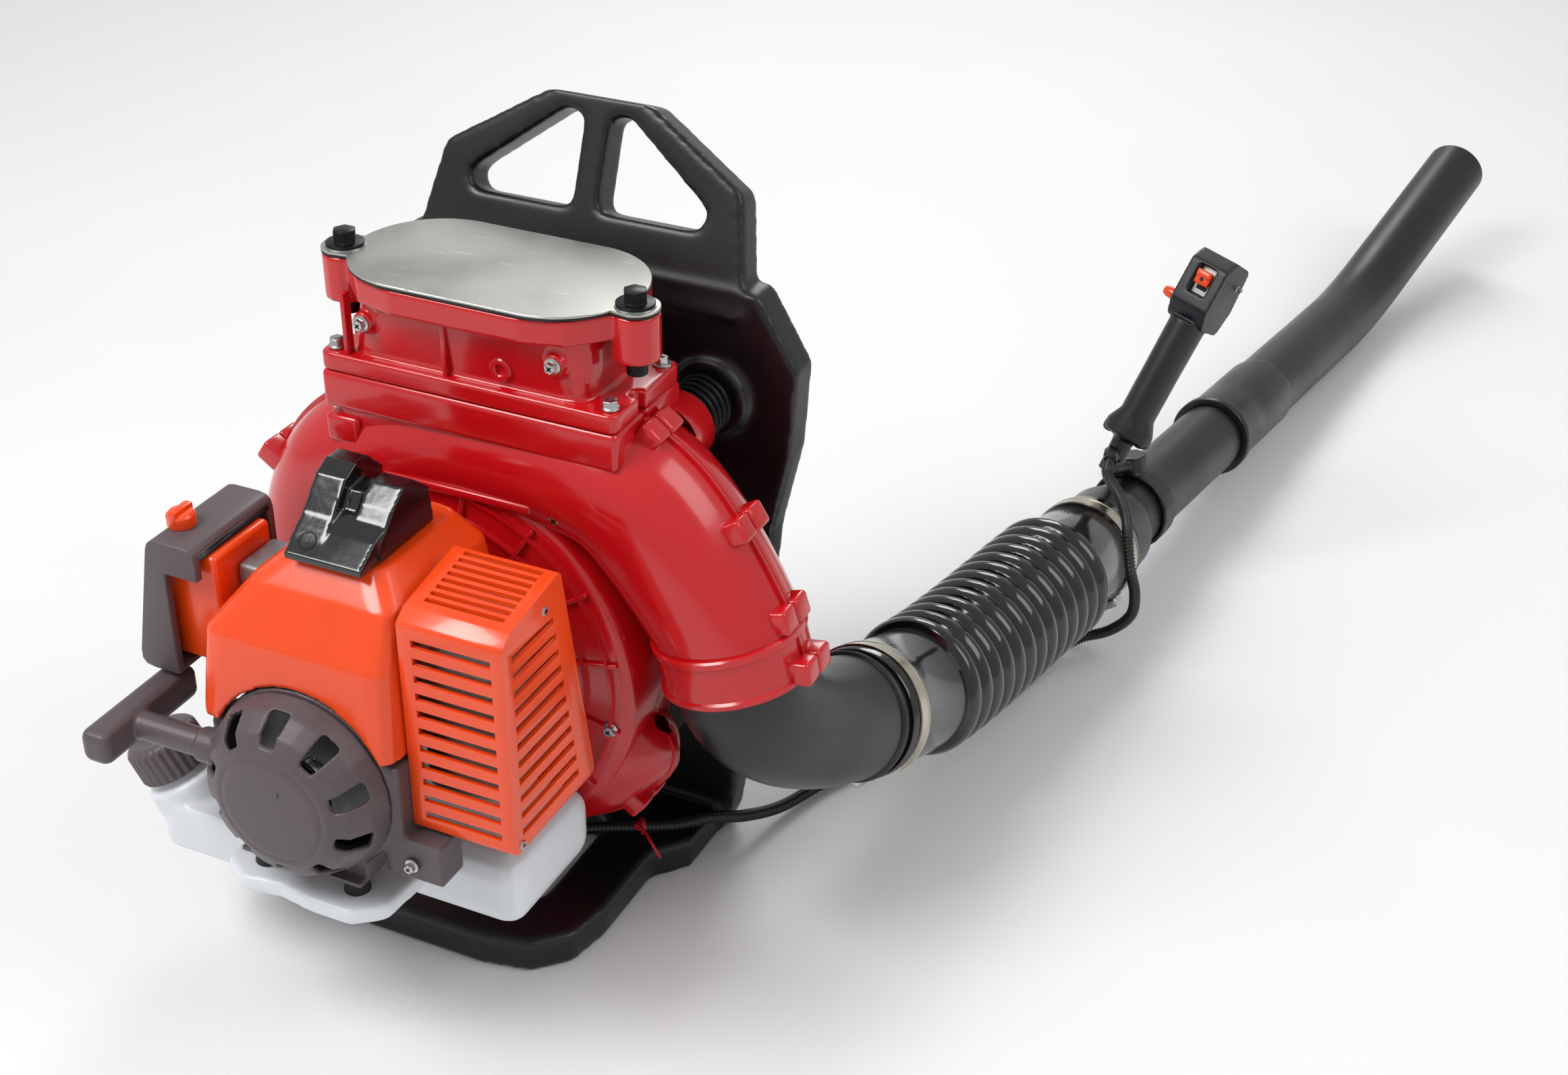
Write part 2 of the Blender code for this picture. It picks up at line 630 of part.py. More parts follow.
def build_rotor():
    hub = crank(0)
    back = SEAM_Y + 8
    disc = [(IMPELLER_R, back), (IMPELLER_R, back + 3), (24, back + 6), (24, back + 16), (18, back + 18)]
    wheel = part("impeller", turned(disc, hub, (0, 1, 0), 32), BLACK)
    join(wheel, turned([(24, back - 34), (24, back + 2)], hub, (0, 1, 0), 24))
    blades = []
    for k in range(BLADES):
        rings = []
        for reach, bend in ((20, 0.0), (70, 0.16), (120, 0.52)):
            a = 2 * math.pi * k / BLADES - bend
            near = Vector((math.cos(a), 0, math.sin(a))) * reach
            thick = Vector((-math.sin(a), 0, math.cos(a))) * 1.2
            low, high = Vector((0, back - 30, 0)), Vector((0, back + 1, 0))
            rings.append([hub + near - thick + low, hub + near + thick + low,
                          hub + near + thick + high, hub + near - thick + high])
        blades.append(loft(rings))
    join(wheel, merged(*blades))
    cut(wheel, bar(crank(-160), crank(-40), SHAFT_R + GAP, 20))
    steps = [(SHAFT_R, -276), (SHAFT_R, -252), (JOURNAL_R, -252), (JOURNAL_R, -150), (SHAFT_R, -150),
             (SHAFT_R, back + 22)]
    shaft = part("crankshaft", turned(steps, hub, (0, 1, 0), 20), STEEL)
    rim = [(50, -276), (52, -272), (52, -262), (30, -260), (30, -257.5)]
    flywheel = part("flywheel", turned(rim, hub, (0, 1, 0), 24), ALLOY)
    cut(flywheel, bar(crank(-290), crank(-240), SHAFT_R + GAP, 20))
    carry(pivot("rotor_axis", crank(SEAM_Y)), wheel, shaft, flywheel)


# ---------------------------------------------------------------- engine

def build_crankcase():
    back = SEAM_Y - DRUM_HALF - GAP
    profile = [(44, -250), (50, -246), (50, back - 15.7), (58, back - 11.7), (58, back)]
    case = part("crankcase", turned(profile, crank(0), (0, 1, 0), 24), ALLOY)
    join(case, block((-64, CYLINDER_Y - 34, 215), (4, CYLINDER_Y + 34, 252)))
    cut(case, bar(crank(-300), crank(-100), JOURNAL_R + RUN, 24))
    fins = part("cylinder", block((-58, CYLINDER_Y - 28, 252 + GAP), (-2, CYLINDER_Y + 28, 318)), ALLOY)
    plates = [block((-64, CYLINDER_Y - 34, z), (4, CYLINDER_Y + 34, z + 2.5)) for z in range(262, 316, 8)]
    join(fins, merged(*plates))
    muffler = part("muffler", block((36, CYLINDER_Y - 43, 196), (90, CYLINDER_Y + 22, 304), 6), STEEL)
    join(muffler, block((4 + GAP, CYLINDER_Y - 14, 268), (42, CYLINDER_Y + 14, 292)),
         bar((55, CYLINDER_Y - 30, 230), (97, CYLINDER_Y - 30, 230), 7, 14))


def build_fan_housing():
    back = -250 - GAP
    cup = [(HOUSING_R, -286), (HOUSING_R, back), (16, back), (16, -256), (HOUSING_R - 6, -256),
           (HOUSING_R - 6, -286)]
    ring = part("fan_housing", turned(cup, crank(0), (0, 1, 0), 28, hollow=True), GREY)
    foot = TANK_TOP + MOUNT_H + 2 * GAP
    feet = merged(*[block((x - 11, -286, foot), (x + 11, -262, foot + 14)) for x in MOUNT_XS])
    lips = merged(*[block((x - 11, -294, foot), (x + 11, -270, foot + 4)) for x in MOUNT_XS])
    right = block((CRANK_X + HOUSING_R - 8, -284, 146), (35 - GAP, -259, 225))
    shelf = block((20, -283, 146), (60, -260, 175))
    left = block((-98, -284, 176), (CRANK_X - HOUSING_R + 7, -259, 224), 4)
    join(ring, feet, lips, right, shelf, left)
    cut(ring, bar(crank(-310), crank(-257), HOUSING_R - 6.5, 28))


def build_starter():
    """Recoil starter: vented cover, pulley, rope and T-grip."""
    y = STARTER_FRONT
    dome = [(38, 0), (50, 6), (57, 18), (STARTER_R, 33.5), (STARTER_R - 3, 33.5), (54, 20), (48, 9),
            (37, 3.4)]
    cover = part("starter_cover", turned(dome, crank(y), (0, 1, 0), 30), GREY)
    slots = []
    for k in range(STARTER_VENTS):
        a = 2 * math.pi * (k + 0.5) / STARTER_VENTS
        out = Vector((math.cos(a), 0, math.sin(a)))
        side = Vector((-math.sin(a), 0, math.cos(a)))
        near, far = crank(0) + out * 42, crank(0) + out * 57
        corners = [near - side * 4.5, near + side * 4.5, far + side * 7, far - side * 7]
        slots.append(loft([[c + Vector((0, h, 0)) for c in corners] for h in (y - 10, y + 22)]))
    cut(cover, merged(*slots))
    join(cover, bar(crank(y + 1), crank(y + 26), 5, 16))
    join(cover, bar((SNOUT_X, ROPE_Y, GRIP_Z), (-78, ROPE_Y, GRIP_Z), 11, 16))
    cut(cover, bar((SNOUT_X - 5, ROPE_Y, GRIP_Z), (-60, ROPE_Y, GRIP_Z), 3.5, 12))
    pulley = part("starter_pulley", turned([(28, 10), (28, 12), (22, 14), (22, 17), (28, 19), (28, 21)],
                                           crank(y), (0, 1, 0), 22), BLACK)
    cut(pulley, bar(crank(y), crank(y + 30), 5 + RUN, 14))
    carry(pivot("pulley_axis", crank(y + 15)), pulley)
    grip = part("starter_grip", block((GRIP_X - 10, -331, GRIP_Z - 11), (GRIP_X + 10, -243, GRIP_Z + 11),
                                      5), GREY)
    join(grip, bar((GRIP_X, ROPE_Y, GRIP_Z), (SNOUT_X - GAP, ROPE_Y, GRIP_Z), 9, 16))
    cut(grip, bar((GRIP_X + 32, ROPE_Y, GRIP_Z), (GRIP_X + 80, ROPE_Y, GRIP_Z), 3, 12))
    carry(pivot("grip_rest", (GRIP_X, ROPE_Y, GRIP_Z)), grip)
    part("starter_rope", bar((GRIP_X + 34, ROPE_Y, GRIP_Z), (-66, ROPE_Y, GRIP_Z), 2, 10), FABRIC)


def cover_rings(offset):
    """Sections of the engine cover from its open bottom to its top."""
    sections = [(COVER_BOTTOM - 4 * (offset < 0), -102, 34, -290, -158), (286, -97, 33, -284, -156),
                (318, -72, 30, -268, -160), (335 + min(offset, 0) / 2, -52, 14, -252, -168)]
    rings = []
    for z, x0, x1, y0, y1 in sections:
        corners = [(x0 - offset, y0 - offset), (x1 + offset, y0 - offset),
                   (x1 + offset, y1 + offset), (x0 - offset, y1 + offset)]
        rings.append([Vector((x, y, z)) for x, y in rounded(corners, 14)])
    return rings


def build_covers():
    cover = part("engine_cover", loft(cover_rings(0)), ORANGE)
    cut(cover, loft(cover_rings(-3)), bar(crank(-320), crank(-120), HOUSING_R + RUN, 28),
        block((-120, CYLINDER_Y - 19, 215), (-70, CYLINDER_Y + 24, 304)),
        block((10, CYLINDER_Y - 15, 215), (60, CYLINDER_Y + 15, 294)))
    outline = [(-272, 176), (-272, 320), (-262, 327), (-206, 337), (-177, 176)]
    guard = part("muffler_guard", prism(rounded(outline, 5), "X", 35, 104), ORANGE)
    inner = [(-269, 170), (-269, 318), (-261, 324), (-206, 334), (-150, 340), (-150, 170)]
    cut(guard, prism(inner, "X", 25, 101))
    levels = [186 + VENT_PITCH * k for k in range(11)]
    fronts = [block((44, -280, z), (96, -262, z + VENT)) for z in levels]
    sides = [block((96, -262, z), (110, -196 - 2 * k, z + VENT)) for k, z in enumerate(levels)]
    tops = [block((44, y, 310), (96, y + 3.4, 345)) for y in range(-256, -212, 6)]
    cut(guard, merged(*fronts), merged(*sides), merged(*tops))
    hood = [(-262, 335 + GAP), (-262, 341), (-240, 352), (-216, 374), (-203, 376), (-186, 366),
            (-186, 335 + GAP)]
    hood_piece = part("spark_plug_cover", prism(rounded(hood, 4), "X", -46, 8), BLACK)
    cut(hood_piece, bar((-30, -280, 346), (-30, -240, 346), 5, 16))


def build_intake():
    """Carburettor and air filter on the cylinder's left."""
    carb = part("carburettor", block((-106, CYLINDER_Y - 18, 262), (-66, CYLINDER_Y + 18, 300), 3), ALLOY)
    join(carb, bar((-88, CYLINDER_Y, 250), (-88, CYLINDER_Y, 266), 11, 18))
    body = part("air_filter_body", block((-152, -251, 236), (-106 - GAP, -196, 312), 3), ORANGE)
    shell = [(-166, 228), (-147, 322), (-112, 322), (-112, 228)]
    cover = part("air_filter_cover", prism(rounded(shell, 9), "Y", -262, -184), GREY)
    cut(cover, block((-157, -256, 232), (-90, -190, 316)), block((-136, -280, 222), (-90, -240, 300)))
    knob = part("air_filter_knob", turned([(9, 0), (9, 7), (7, 9)], (-138, -238, 322 + GAP), (0, 0, 1),
                                          16), ORANGE)
    join(knob, block((-141, -247, 324), (-135, -229, 334), 1.5))
    carry(pivot("knob_axis", (-138, -238, 322)), knob)
    lever = part("choke_lever", block((-93, CYLINDER_Y + 18 + GAP, 278), (-85, CYLINDER_Y + 22, 302), 1.5),
                 BLACK)
    carry(pivot("choke_axis", (-89, CYLINDER_Y + 20, 288)), lever)
    bulb = [(9, 0), (9, 3), (7, 7), (3, 9)]
    part("primer_bulb", turned(bulb, (-88, CYLINDER_Y, 250 - GAP), (0, 0, -1), 18), RUBBER)


def build_tank():
    tank = part("fuel_tank", block((-62, -234, TANK_BOTTOM), (78, -136, TANK_TOP + 4), 13), WHITE)
    lobe = [(-196, -205), (-170, -262), (-60, -262), (-40, -234), (-40, -142), (-180, -142)]
    left = prism(rounded(lobe, 18), "Z", TANK_BOTTOM + 8, TANK_TOP - 3)
    lobe = [(-94, -240), (-94, -292), (-74, -304), (-48, -300), (-22, -304), (4, -304), (22, -290),
            (26, -228)]
    shelf = prism(rounded(lobe, 12), "Z", TANK_TOP - 12, TANK_TOP)
    neck = turned([(27, -20), (26, 6), (20, 8), (20, 12)], CAP_CENTRE, CAP_AXIS, 24)
    join(tank, left, shelf, neck)
    cut(tank, block((CRANK_X - 12, -152, 60), (CRANK_X + 12, -100, 140)))
    cap = part("fuel_cap", turned([(24, 12 + GAP), (25, 16), (25, 34), (22, 38)], CAP_CENTRE, CAP_AXIS,
                                  28), GREY)
    carry(pivot("cap_axis", CAP_CENTRE), cap)
    for name, x in (("tank_mount_left", MOUNT_XS[0]), ("tank_mount_right", MOUNT_XS[1])):
        part(name, turned([(MOUNT_R, GAP), (MOUNT_R - 1, MOUNT_H / 2), (MOUNT_R, MOUNT_H + GAP)],
                          (x, MOUNT_Y, TANK_TOP), (0, 0, 1), 18), RUBBER)


# ---------------------------------------------------------------- blower tube

def bend_path(start, start_way, end, end_way, count, pull=0.42):
    """A Bezier curve between two points with given directions."""
    reach = (end - start).length * pull
    a, b = start + start_way * reach, end - end_way * reach
    path = []
    for k in range(count):
        t = k / (count - 1)
        path.append((1 - t) ** 3 * start + 3 * (1 - t) ** 2 * t * a + 3 * (1 - t) * t ** 2 * b + t ** 3 * end)
    return path


def build_elbow():
    way = outlet_way()
    top = OUTLET - way * (COLLAR_H - 8)
    bend = bend_path(OUTLET + way * 2, way, HOSE_START - HOSE_IN * 16, HOSE_IN, 8, 0.29)
    path = [top] + bend + [HOSE_START + HOSE_IN * SPIGOT]
    return part("elbow", pipe(path, ELBOW_R, ELBOW_R - ELBOW_WALL, TUBE_SIDES, up=Vector((1, 0, 0))), BLACK)


def hose_axis():
    """Points along the hose's axis: straight on both spigots and gently bent between them."""
    bend = bend_path(HOSE_START + HOSE_IN * (SPIGOT + 6), HOSE_IN,
                     HOSE_END - HOSE_OUT * (SPIGOT + 16), HOSE_OUT, 25, 0.3)
    return [HOSE_START] + bend + [HOSE_END]


def along(path, distance):
    """The point at a distance along a path, or on the straight beyond its ends, and the direction there."""
    ways = [(far - near).normalized() for near, far in zip(path, path[1:])]
    if distance < 0:
        return path[0] + ways[0] * distance, ways[0]
    for near, far, way in zip(path, path[1:], ways):
        span = (far - near).length
        if distance <= span:
            return near + way * distance, way
        distance -= span
    return path[-1] + ways[-1] * distance, ways[-1]


def hose_length():
    path = hose_axis()
    return sum((far - near).length for near, far in zip(path, path[1:]))


def hose_profile():
    """(distance along the hose, radius) of the corrugated hose with a smooth cuff at each end."""
    length = hose_length()
    start = (length - HOSE_PITCH * HOSE_TURNS) / 2 + 4
    profile = [(-CUFF, CUFF_R), (start - 6, CUFF_R)]
    for k in range(HOSE_TURNS):
        base = start + k * HOSE_PITCH
        profile += [(base, HOSE_R - HOSE_DEEP), (base + HOSE_PITCH / 2, HOSE_R)]
    end = start + HOSE_TURNS * HOSE_PITCH
    return profile + [(end, HOSE_R - HOSE_DEEP), (end + 6, FAR_CUFF_R), (length + CUFF, FAR_CUFF_R)]


def build_hose():
    length = hose_length()
    bore = [(-CUFF, ELBOW_R + GAP), (36, ELBOW_R + GAP), (40, HOSE_BORE), (length - 50, HOSE_BORE),
            (length - 46, HANDLE_TUBE_R + GAP), (length + CUFF, HANDLE_TUBE_R + GAP)]
    path = hose_axis()
    rings = [circle(*along(path, s), r, TUBE_SIDES) for s, r in hose_profile() + bore[::-1]]
    return part("corrugated_hose", loft(rings, wrap=True), BLACK)


def clamp(name, centre, way, radius, towards):
    """A worm-drive band with its screw housing on the side that towards points to."""
    band = part(name, pipe([centre - way * 6, centre + way * 6], radius + 1.3, radius + GAP, TUBE_SIDES),
                STEEL)
    out = (towards - way * towards.dot(way)).normalized()
    matrix = Matrix((way.cross(out), way, out)).transposed().to_4x4()
    matrix.translation = centre
    housing = block((-11, -7, radius + 0.5), (11, 7, radius + 9), 1.5)
    bmesh.ops.transform(housing, matrix=matrix, verts=housing.verts)
    return join(band, housing)


def tube_way():
    return (TUBE_HEEL - HOSE_END).normalized()


def build_handle_tube():
    """The tube behind the hose, with its shoulder and the end that goes into the coupling tube."""
    way = tube_way()
    stations = [(18, HANDLE_TUBE_R), (48, HANDLE_TUBE_R - 1), (66, NECK_R), (COUPLING[0] + OVERLAP, NECK_R)]
    path = [HOSE_END - HOSE_OUT * 42, HOSE_END + HOSE_OUT * 16] + [HOSE_END + way * s for s,
                                                                   r in stations[1:]]
    outer = [HANDLE_TUBE_R] + [r for s, r in stations]
    return part("handle_tube", pipe(path, outer, [r - TUBE_WALL for r in outer], TUBE_SIDES), BLACK)


def build_straight_tube():
    """The coupling tube: a bead at its mouth, and a bore for the tube at each end."""
    way = tube_way()
    start, end = COUPLING
    bead, bore, turning = TUBE_R + 2.6, NECK_R + GAP, running(NOZZLE_R)
    stations = [(start, bead, bore), (start + 11, bead, bore), (start + 14, TUBE_R, bore),
                (start + OVERLAP + 4, TUBE_R, bore), (end - OVERLAP - 4, TUBE_R, turning),
                (end, TUBE_R, turning)]
    path = [HOSE_END + way * s for s, outer, inner in stations]
    return part("straight_tube", pipe(path, [outer for s, outer, inner in stations],
                                      [inner for s, outer, inner in stations], TUBE_SIDES), BLACK)


def nozzle_path():
    way = tube_way()
    tip_way = (NOZZLE_TIP - TUBE_HEEL).normalized()
    start = HOSE_END + way * (COUPLING[1] - OVERLAP)
    bend = bend_path(TUBE_HEEL - way * 38, way, TUBE_HEEL + tip_way * 38, tip_way, 5)
    return [start] + bend + [NOZZLE_TIP]


def build_nozzle():
    return part("nozzle", pipe(nozzle_path(), NOZZLE_R, NOZZLE_R - TUBE_WALL, TUBE_SIDES), BLACK)


def build_tube():
    elbow, hose = build_elbow(), build_hose()
    near = clamp("hose_clamp_near", HOSE_START, HOSE_IN, CUFF_R, Vector((0, 0, -1)))
    far = clamp("hose_clamp_far", HOSE_END, HOSE_OUT, FAR_CUFF_R, Vector((0.6, 0, -0.8)))
    handle_tube, straight, nozzle = build_handle_tube(), build_straight_tube(), build_nozzle()
    carry(pivot("elbow_axis", OUTLET), elbow, near, hose)
    middle = (HOSE_START + HOSE_END) / 2
    carry(pivot("hose_axis", middle), far, handle_tube, straight)
    carry(pivot("nozzle_axis", HOSE_END + tube_way() * (COUPLING[1] - OVERLAP / 2)), nozzle)


# ---------------------------------------------------------------- control handle

def handle_frame():
    """Matrix of the handle: local Z up the grip, local Y out of the switch face, local X to its right."""
    up = (HANDLE_HEAD - HANDLE_BASE).normalized()
    ahead = Vector((0.204, -0.891, 0.402))
    face = (ahead - up * ahead.dot(up)).normalized()
    face = Matrix.Rotation(math.radians(-FACE_TURN), 3, up) @ face
    right = face.cross(up).normalized() * -1
    matrix = Matrix((right, face, up)).transposed().to_4x4()
    matrix.translation = HANDLE_BASE
    return matrix


def in_handle(mesh):
    bmesh.ops.transform(mesh, matrix=handle_frame(), verts=mesh.verts)
    return mesh


def build_handle():
    """Grip, head with stop switch, thumb lever and trigger, on a clamp ring round the tube."""
    way = tube_way()
    up = (HANDLE_HEAD - HANDLE_BASE).normalized()
    centre = HOSE_END + way * RING_AT
    ring = part("handle_clamp", pipe([centre - way * RING_HALF, centre + way * RING_HALF], NECK_R + 4,
                                     NECK_R + GAP, TUBE_SIDES), BLACK)
    out = HANDLE_BASE - centre
    out = (out - way * out.dot(way)).normalized()
    knee = HANDLE_BASE - up * 12
    join(ring, bar(centre + out * (NECK_R + 2), centre + out * (NECK_R + 17), 12),
         bar(centre + out * (NECK_R + 7), knee, 5.5), bar(knee, HANDLE_BASE - up * GAP, 8))
    length = (HANDLE_HEAD - HANDLE_BASE).length
    stations = [(0, 8, 8), (17, 9, 9), (20, 21, 17), (28, 21, 17), (40, 14.5, 17),
                (length * 0.5, 14.5, 17.5),
                (length - 34, 15, 18)]
    rings = []
    for z, wide, deep in stations:
        rings.append([Vector((wide * math.cos(a), deep * math.sin(a), z))
                      for a in [2 * math.pi * i / 20 for i in range(20)]])
    grip = part("handle_grip", in_handle(loft(rings)), BLACK)
    head = [(-22, length - 36), (10, length - 36), (19, length - 22), (19, length + 14), (8, length + 24),
            (-22, length + 22), (-28, length - 14)]
    body = prism(rounded(head, 6), "X", -17, 17)
    join(grip, in_handle(body))
    cut(grip, in_handle(block((-8, 10, length - 12), (8, 40, length + 12))),
        in_handle(block((-40, -8, length - 30), (-9, 4, length - 12))),
        in_handle(block((-5, -60, length - 62), (5, -12, length - 12))))
    plate = part("stop_switch", in_handle(block((-6.5, 11.5, length - 4), (6.5, 22, length + 8), 2)), ORANGE)
    lever = part("throttle_lever", in_handle(block((-33, -5, length - 25), (-12, 1, length - 17), 2)),
                 ORANGE)
    trigger = [(-13, length - 16), (-24, length - 22), (-30, length - 44), (-24, length - 58),
               (-19, length - 56), (-21, length - 40)]
    blade = part("throttle_trigger", in_handle(prism(rounded(trigger, 2), "X", -4, 4)), RED)
    frame = handle_frame()
    carry(pivot("switch_axis", frame @ Vector((0, 14, length + 2))), plate)
    carry(pivot("lever_axis", frame @ Vector((-13, -2, length - 21))), lever)
    carry(pivot("trigger_axis", frame @ Vector((0, -15, length - 18))), blade)
    carry(bpy.data.objects["hose_axis"], ring, grip)


def shortened(path, at_start, at_end):
    """The path with its ends pulled back along themselves."""
    path = [point.copy() for point in path]
    path[0] += (path[1] - path[0]).normalized() * at_start
    path[-1] += (path[-2] - path[-1]).normalized() * at_end
    return path


def build_conduit():
    """The throttle conduit in three lengths: on the tube, beside the hose, and over the frame's foot."""
    density = 2                                     # curve points for each point of the route
    path = smooth_path([Vector(p) for p in CONDUIT_ROUTE], (len(CONDUIT_ROUTE) - 1) * density + 1)
    first, second = (k * density for k in CONDUIT_BREAKS)
    lengths = (("conduit_tube", path[:first + 1]), ("conduit_hose", path[first:second + 1]),
               ("conduit_frame", path[second:]))
    for name, points in lengths:
        data = bpy.data.curves.new(name, "CURVE")
        data.dimensions = "3D"
        data.bevel_depth = CONDUIT_R * MM
        data.bevel_resolution = 2
        data.use_fill_caps = True
        line = data.splines.new("POLY")
        line.points.add(len(points) - 1)
        for spot, point in zip(line.points, shortened(points, CONDUIT_GAP, CONDUIT_GAP)):
            spot.co = (*(point * MM), 1.0)
        piece = bpy.data.objects.new(name, data)
        bpy.context.scene.collection.objects.link(piece)
        data.materials.append(BLACK)
    gland = [(7.5, 0), (7.5, 10), (6, 14), (6, 23)]
    part("conduit_gland", turned(gland, GLAND + Vector((0, 0, GAP)), (0, 0, 1), 12), RUBBER)


build_frame()
build_isolators()
build_harness()
build_volute()
build_adapter()
build_top_plate()
build_rotor()
build_crankcase()
build_fan_housing()
build_starter()
build_covers()
build_intake()
build_tank()
build_tube()
build_handle()
build_conduit()
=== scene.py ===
import json
import math

import bmesh
import bpy
from mathutils import Matrix, Vector


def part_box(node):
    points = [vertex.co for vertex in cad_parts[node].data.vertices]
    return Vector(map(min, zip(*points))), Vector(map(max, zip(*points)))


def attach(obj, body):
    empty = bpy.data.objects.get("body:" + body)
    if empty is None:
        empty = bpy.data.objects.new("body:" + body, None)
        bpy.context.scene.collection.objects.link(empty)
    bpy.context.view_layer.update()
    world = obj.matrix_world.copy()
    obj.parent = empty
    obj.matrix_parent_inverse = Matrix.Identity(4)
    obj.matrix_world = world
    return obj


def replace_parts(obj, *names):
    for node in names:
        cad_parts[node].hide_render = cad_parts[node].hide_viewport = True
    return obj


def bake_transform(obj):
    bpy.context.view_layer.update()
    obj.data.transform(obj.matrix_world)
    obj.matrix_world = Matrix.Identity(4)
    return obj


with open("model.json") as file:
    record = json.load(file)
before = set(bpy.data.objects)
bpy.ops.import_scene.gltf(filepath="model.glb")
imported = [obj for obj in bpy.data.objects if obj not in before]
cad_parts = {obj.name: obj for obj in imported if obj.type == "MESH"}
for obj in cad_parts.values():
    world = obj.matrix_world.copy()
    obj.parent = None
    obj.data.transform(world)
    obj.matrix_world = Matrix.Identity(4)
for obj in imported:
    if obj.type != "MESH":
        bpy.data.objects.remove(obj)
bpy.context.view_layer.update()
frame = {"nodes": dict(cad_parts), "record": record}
record = frame["record"]
MM = 0.001
bodyOf = {node: body for body, nodes in record["behaviour"]["bodies"].items() for node in nodes}
scene = bpy.context.scene


def toLinear(hexColour):
    # sRGB hex to the linear values a shader takes
    channels = [int(hexColour[i:i + 2], 16) / 255 for i in (0, 2, 4)]
    return (*[c / 12.92 if c <= 0.04045 else ((c + 0.055) / 1.055) ** 2.4 for c in channels], 1.0)


def addNode(tree, kind, inputs=(), **settings):
    made = tree.nodes.new(kind)
    for key, value in settings.items():
        setattr(made, key, value)
    for key, value in dict(inputs).items():
        if isinstance(value, bpy.types.NodeSocket):
            tree.links.new(value, made.inputs[key])
        else:
            made.inputs[key].default_value = value
    return made


def perMm(sizeMm):
    return 1000 / sizeMm            # a texture scale whose features are about this size


def surface(name, look):
    material = bpy.data.materials.new(name)
    material.use_nodes = True
    tree = material.node_tree
    shader = tree.nodes["Principled BSDF"]
    place = addNode(tree, "ShaderNodeTexCoord").outputs["Object"]
    patches = addNode(tree, "ShaderNodeTexNoise", {
        "Vector": place, "Scale": perMm(look["patchMm"]), "Detail": 3.0}).outputs["Fac"]
    low, high = look["rough"]
    rough = addNode(tree, "ShaderNodeMapRange", {
        "Value": patches, "From Min": 0.3, "From Max": 0.7, "To Min": low, "To Max": high})
    tree.links.new(rough.outputs["Result"], shader.inputs["Roughness"])
    base = toLinear(look["colour"])
    shade = [c * look.get("dim", 0.82) for c in base[:3]] + [1.0]
    colour = addNode(tree, "ShaderNodeMix", {
        "Factor": patches, "A": shade, "B": base}, data_type="RGBA").outputs["Result"]
    stretched = addNode(tree, "ShaderNodeMapping", {
        "Vector": place, "Scale": look.get("stretch", (1, 1, 1))}).outputs["Vector"]
    grain = addNode(tree, "ShaderNodeTexNoise", {
        "Vector": stretched, "Scale": perMm(look["grainMm"]), "Detail": 2.0}).outputs["Fac"]
    if "weaveMm" in look:           # crossed threads, half a turn apart
        scale = 314 / look["weaveMm"]
        bands = [addNode(tree, "ShaderNodeTexWave", {"Vector": place, "Scale": scale, "Distortion": 0.4},
                         bands_direction=way).outputs["Fac"] for way in ("X", "Z")]
        grain = addNode(tree, "ShaderNodeMath", {0: bands[0], 1: bands[1]}, operation="MULTIPLY").outputs[0]
    if "scuff" in look:             # fine pale lines, as handling leaves on sheet metal
        lines = addNode(tree, "ShaderNodeTexNoise", {
            "Vector": addNode(tree, "ShaderNodeMapping", {
                "Vector": place, "Rotation": (0, 0, 0.5), "Scale": (0.06, 1, 1)}).outputs["Vector"],
            "Scale": perMm(1.6), "Detail": 4.0}).outputs["Fac"]
        mask = addNode(tree, "ShaderNodeMapRange", {
            "Value": lines, "From Min": 0.66, "From Max": 0.74}).outputs["Result"]
        colour = addNode(tree, "ShaderNodeMix", {
            "Factor": mask, "A": colour, "B": toLinear(look["scuff"])}, data_type="RGBA").outputs["Result"]
    tree.links.new(colour, shader.inputs["Base Color"])
    bump = addNode(tree, "ShaderNodeBump", {
        "Height": grain, "Distance": look["grainDeepMm"] * MM, "Strength": 1.0})
    tree.links.new(bump.outputs["Normal"], shader.inputs["Normal"])
    shader.inputs["Metallic"].default_value = look.get("metal", 0.0)
    shader.inputs["Coat Weight"].default_value = look.get("coat", 0.0)
    shader.inputs["Coat Roughness"].default_value = 0.08
    shader.inputs["Subsurface Weight"].default_value = look.get("soft", 0.0)
    shader.inputs["Subsurface Radius"].default_value = (0.02, 0.02, 0.02)
    material.diffuse_color = base
    return material


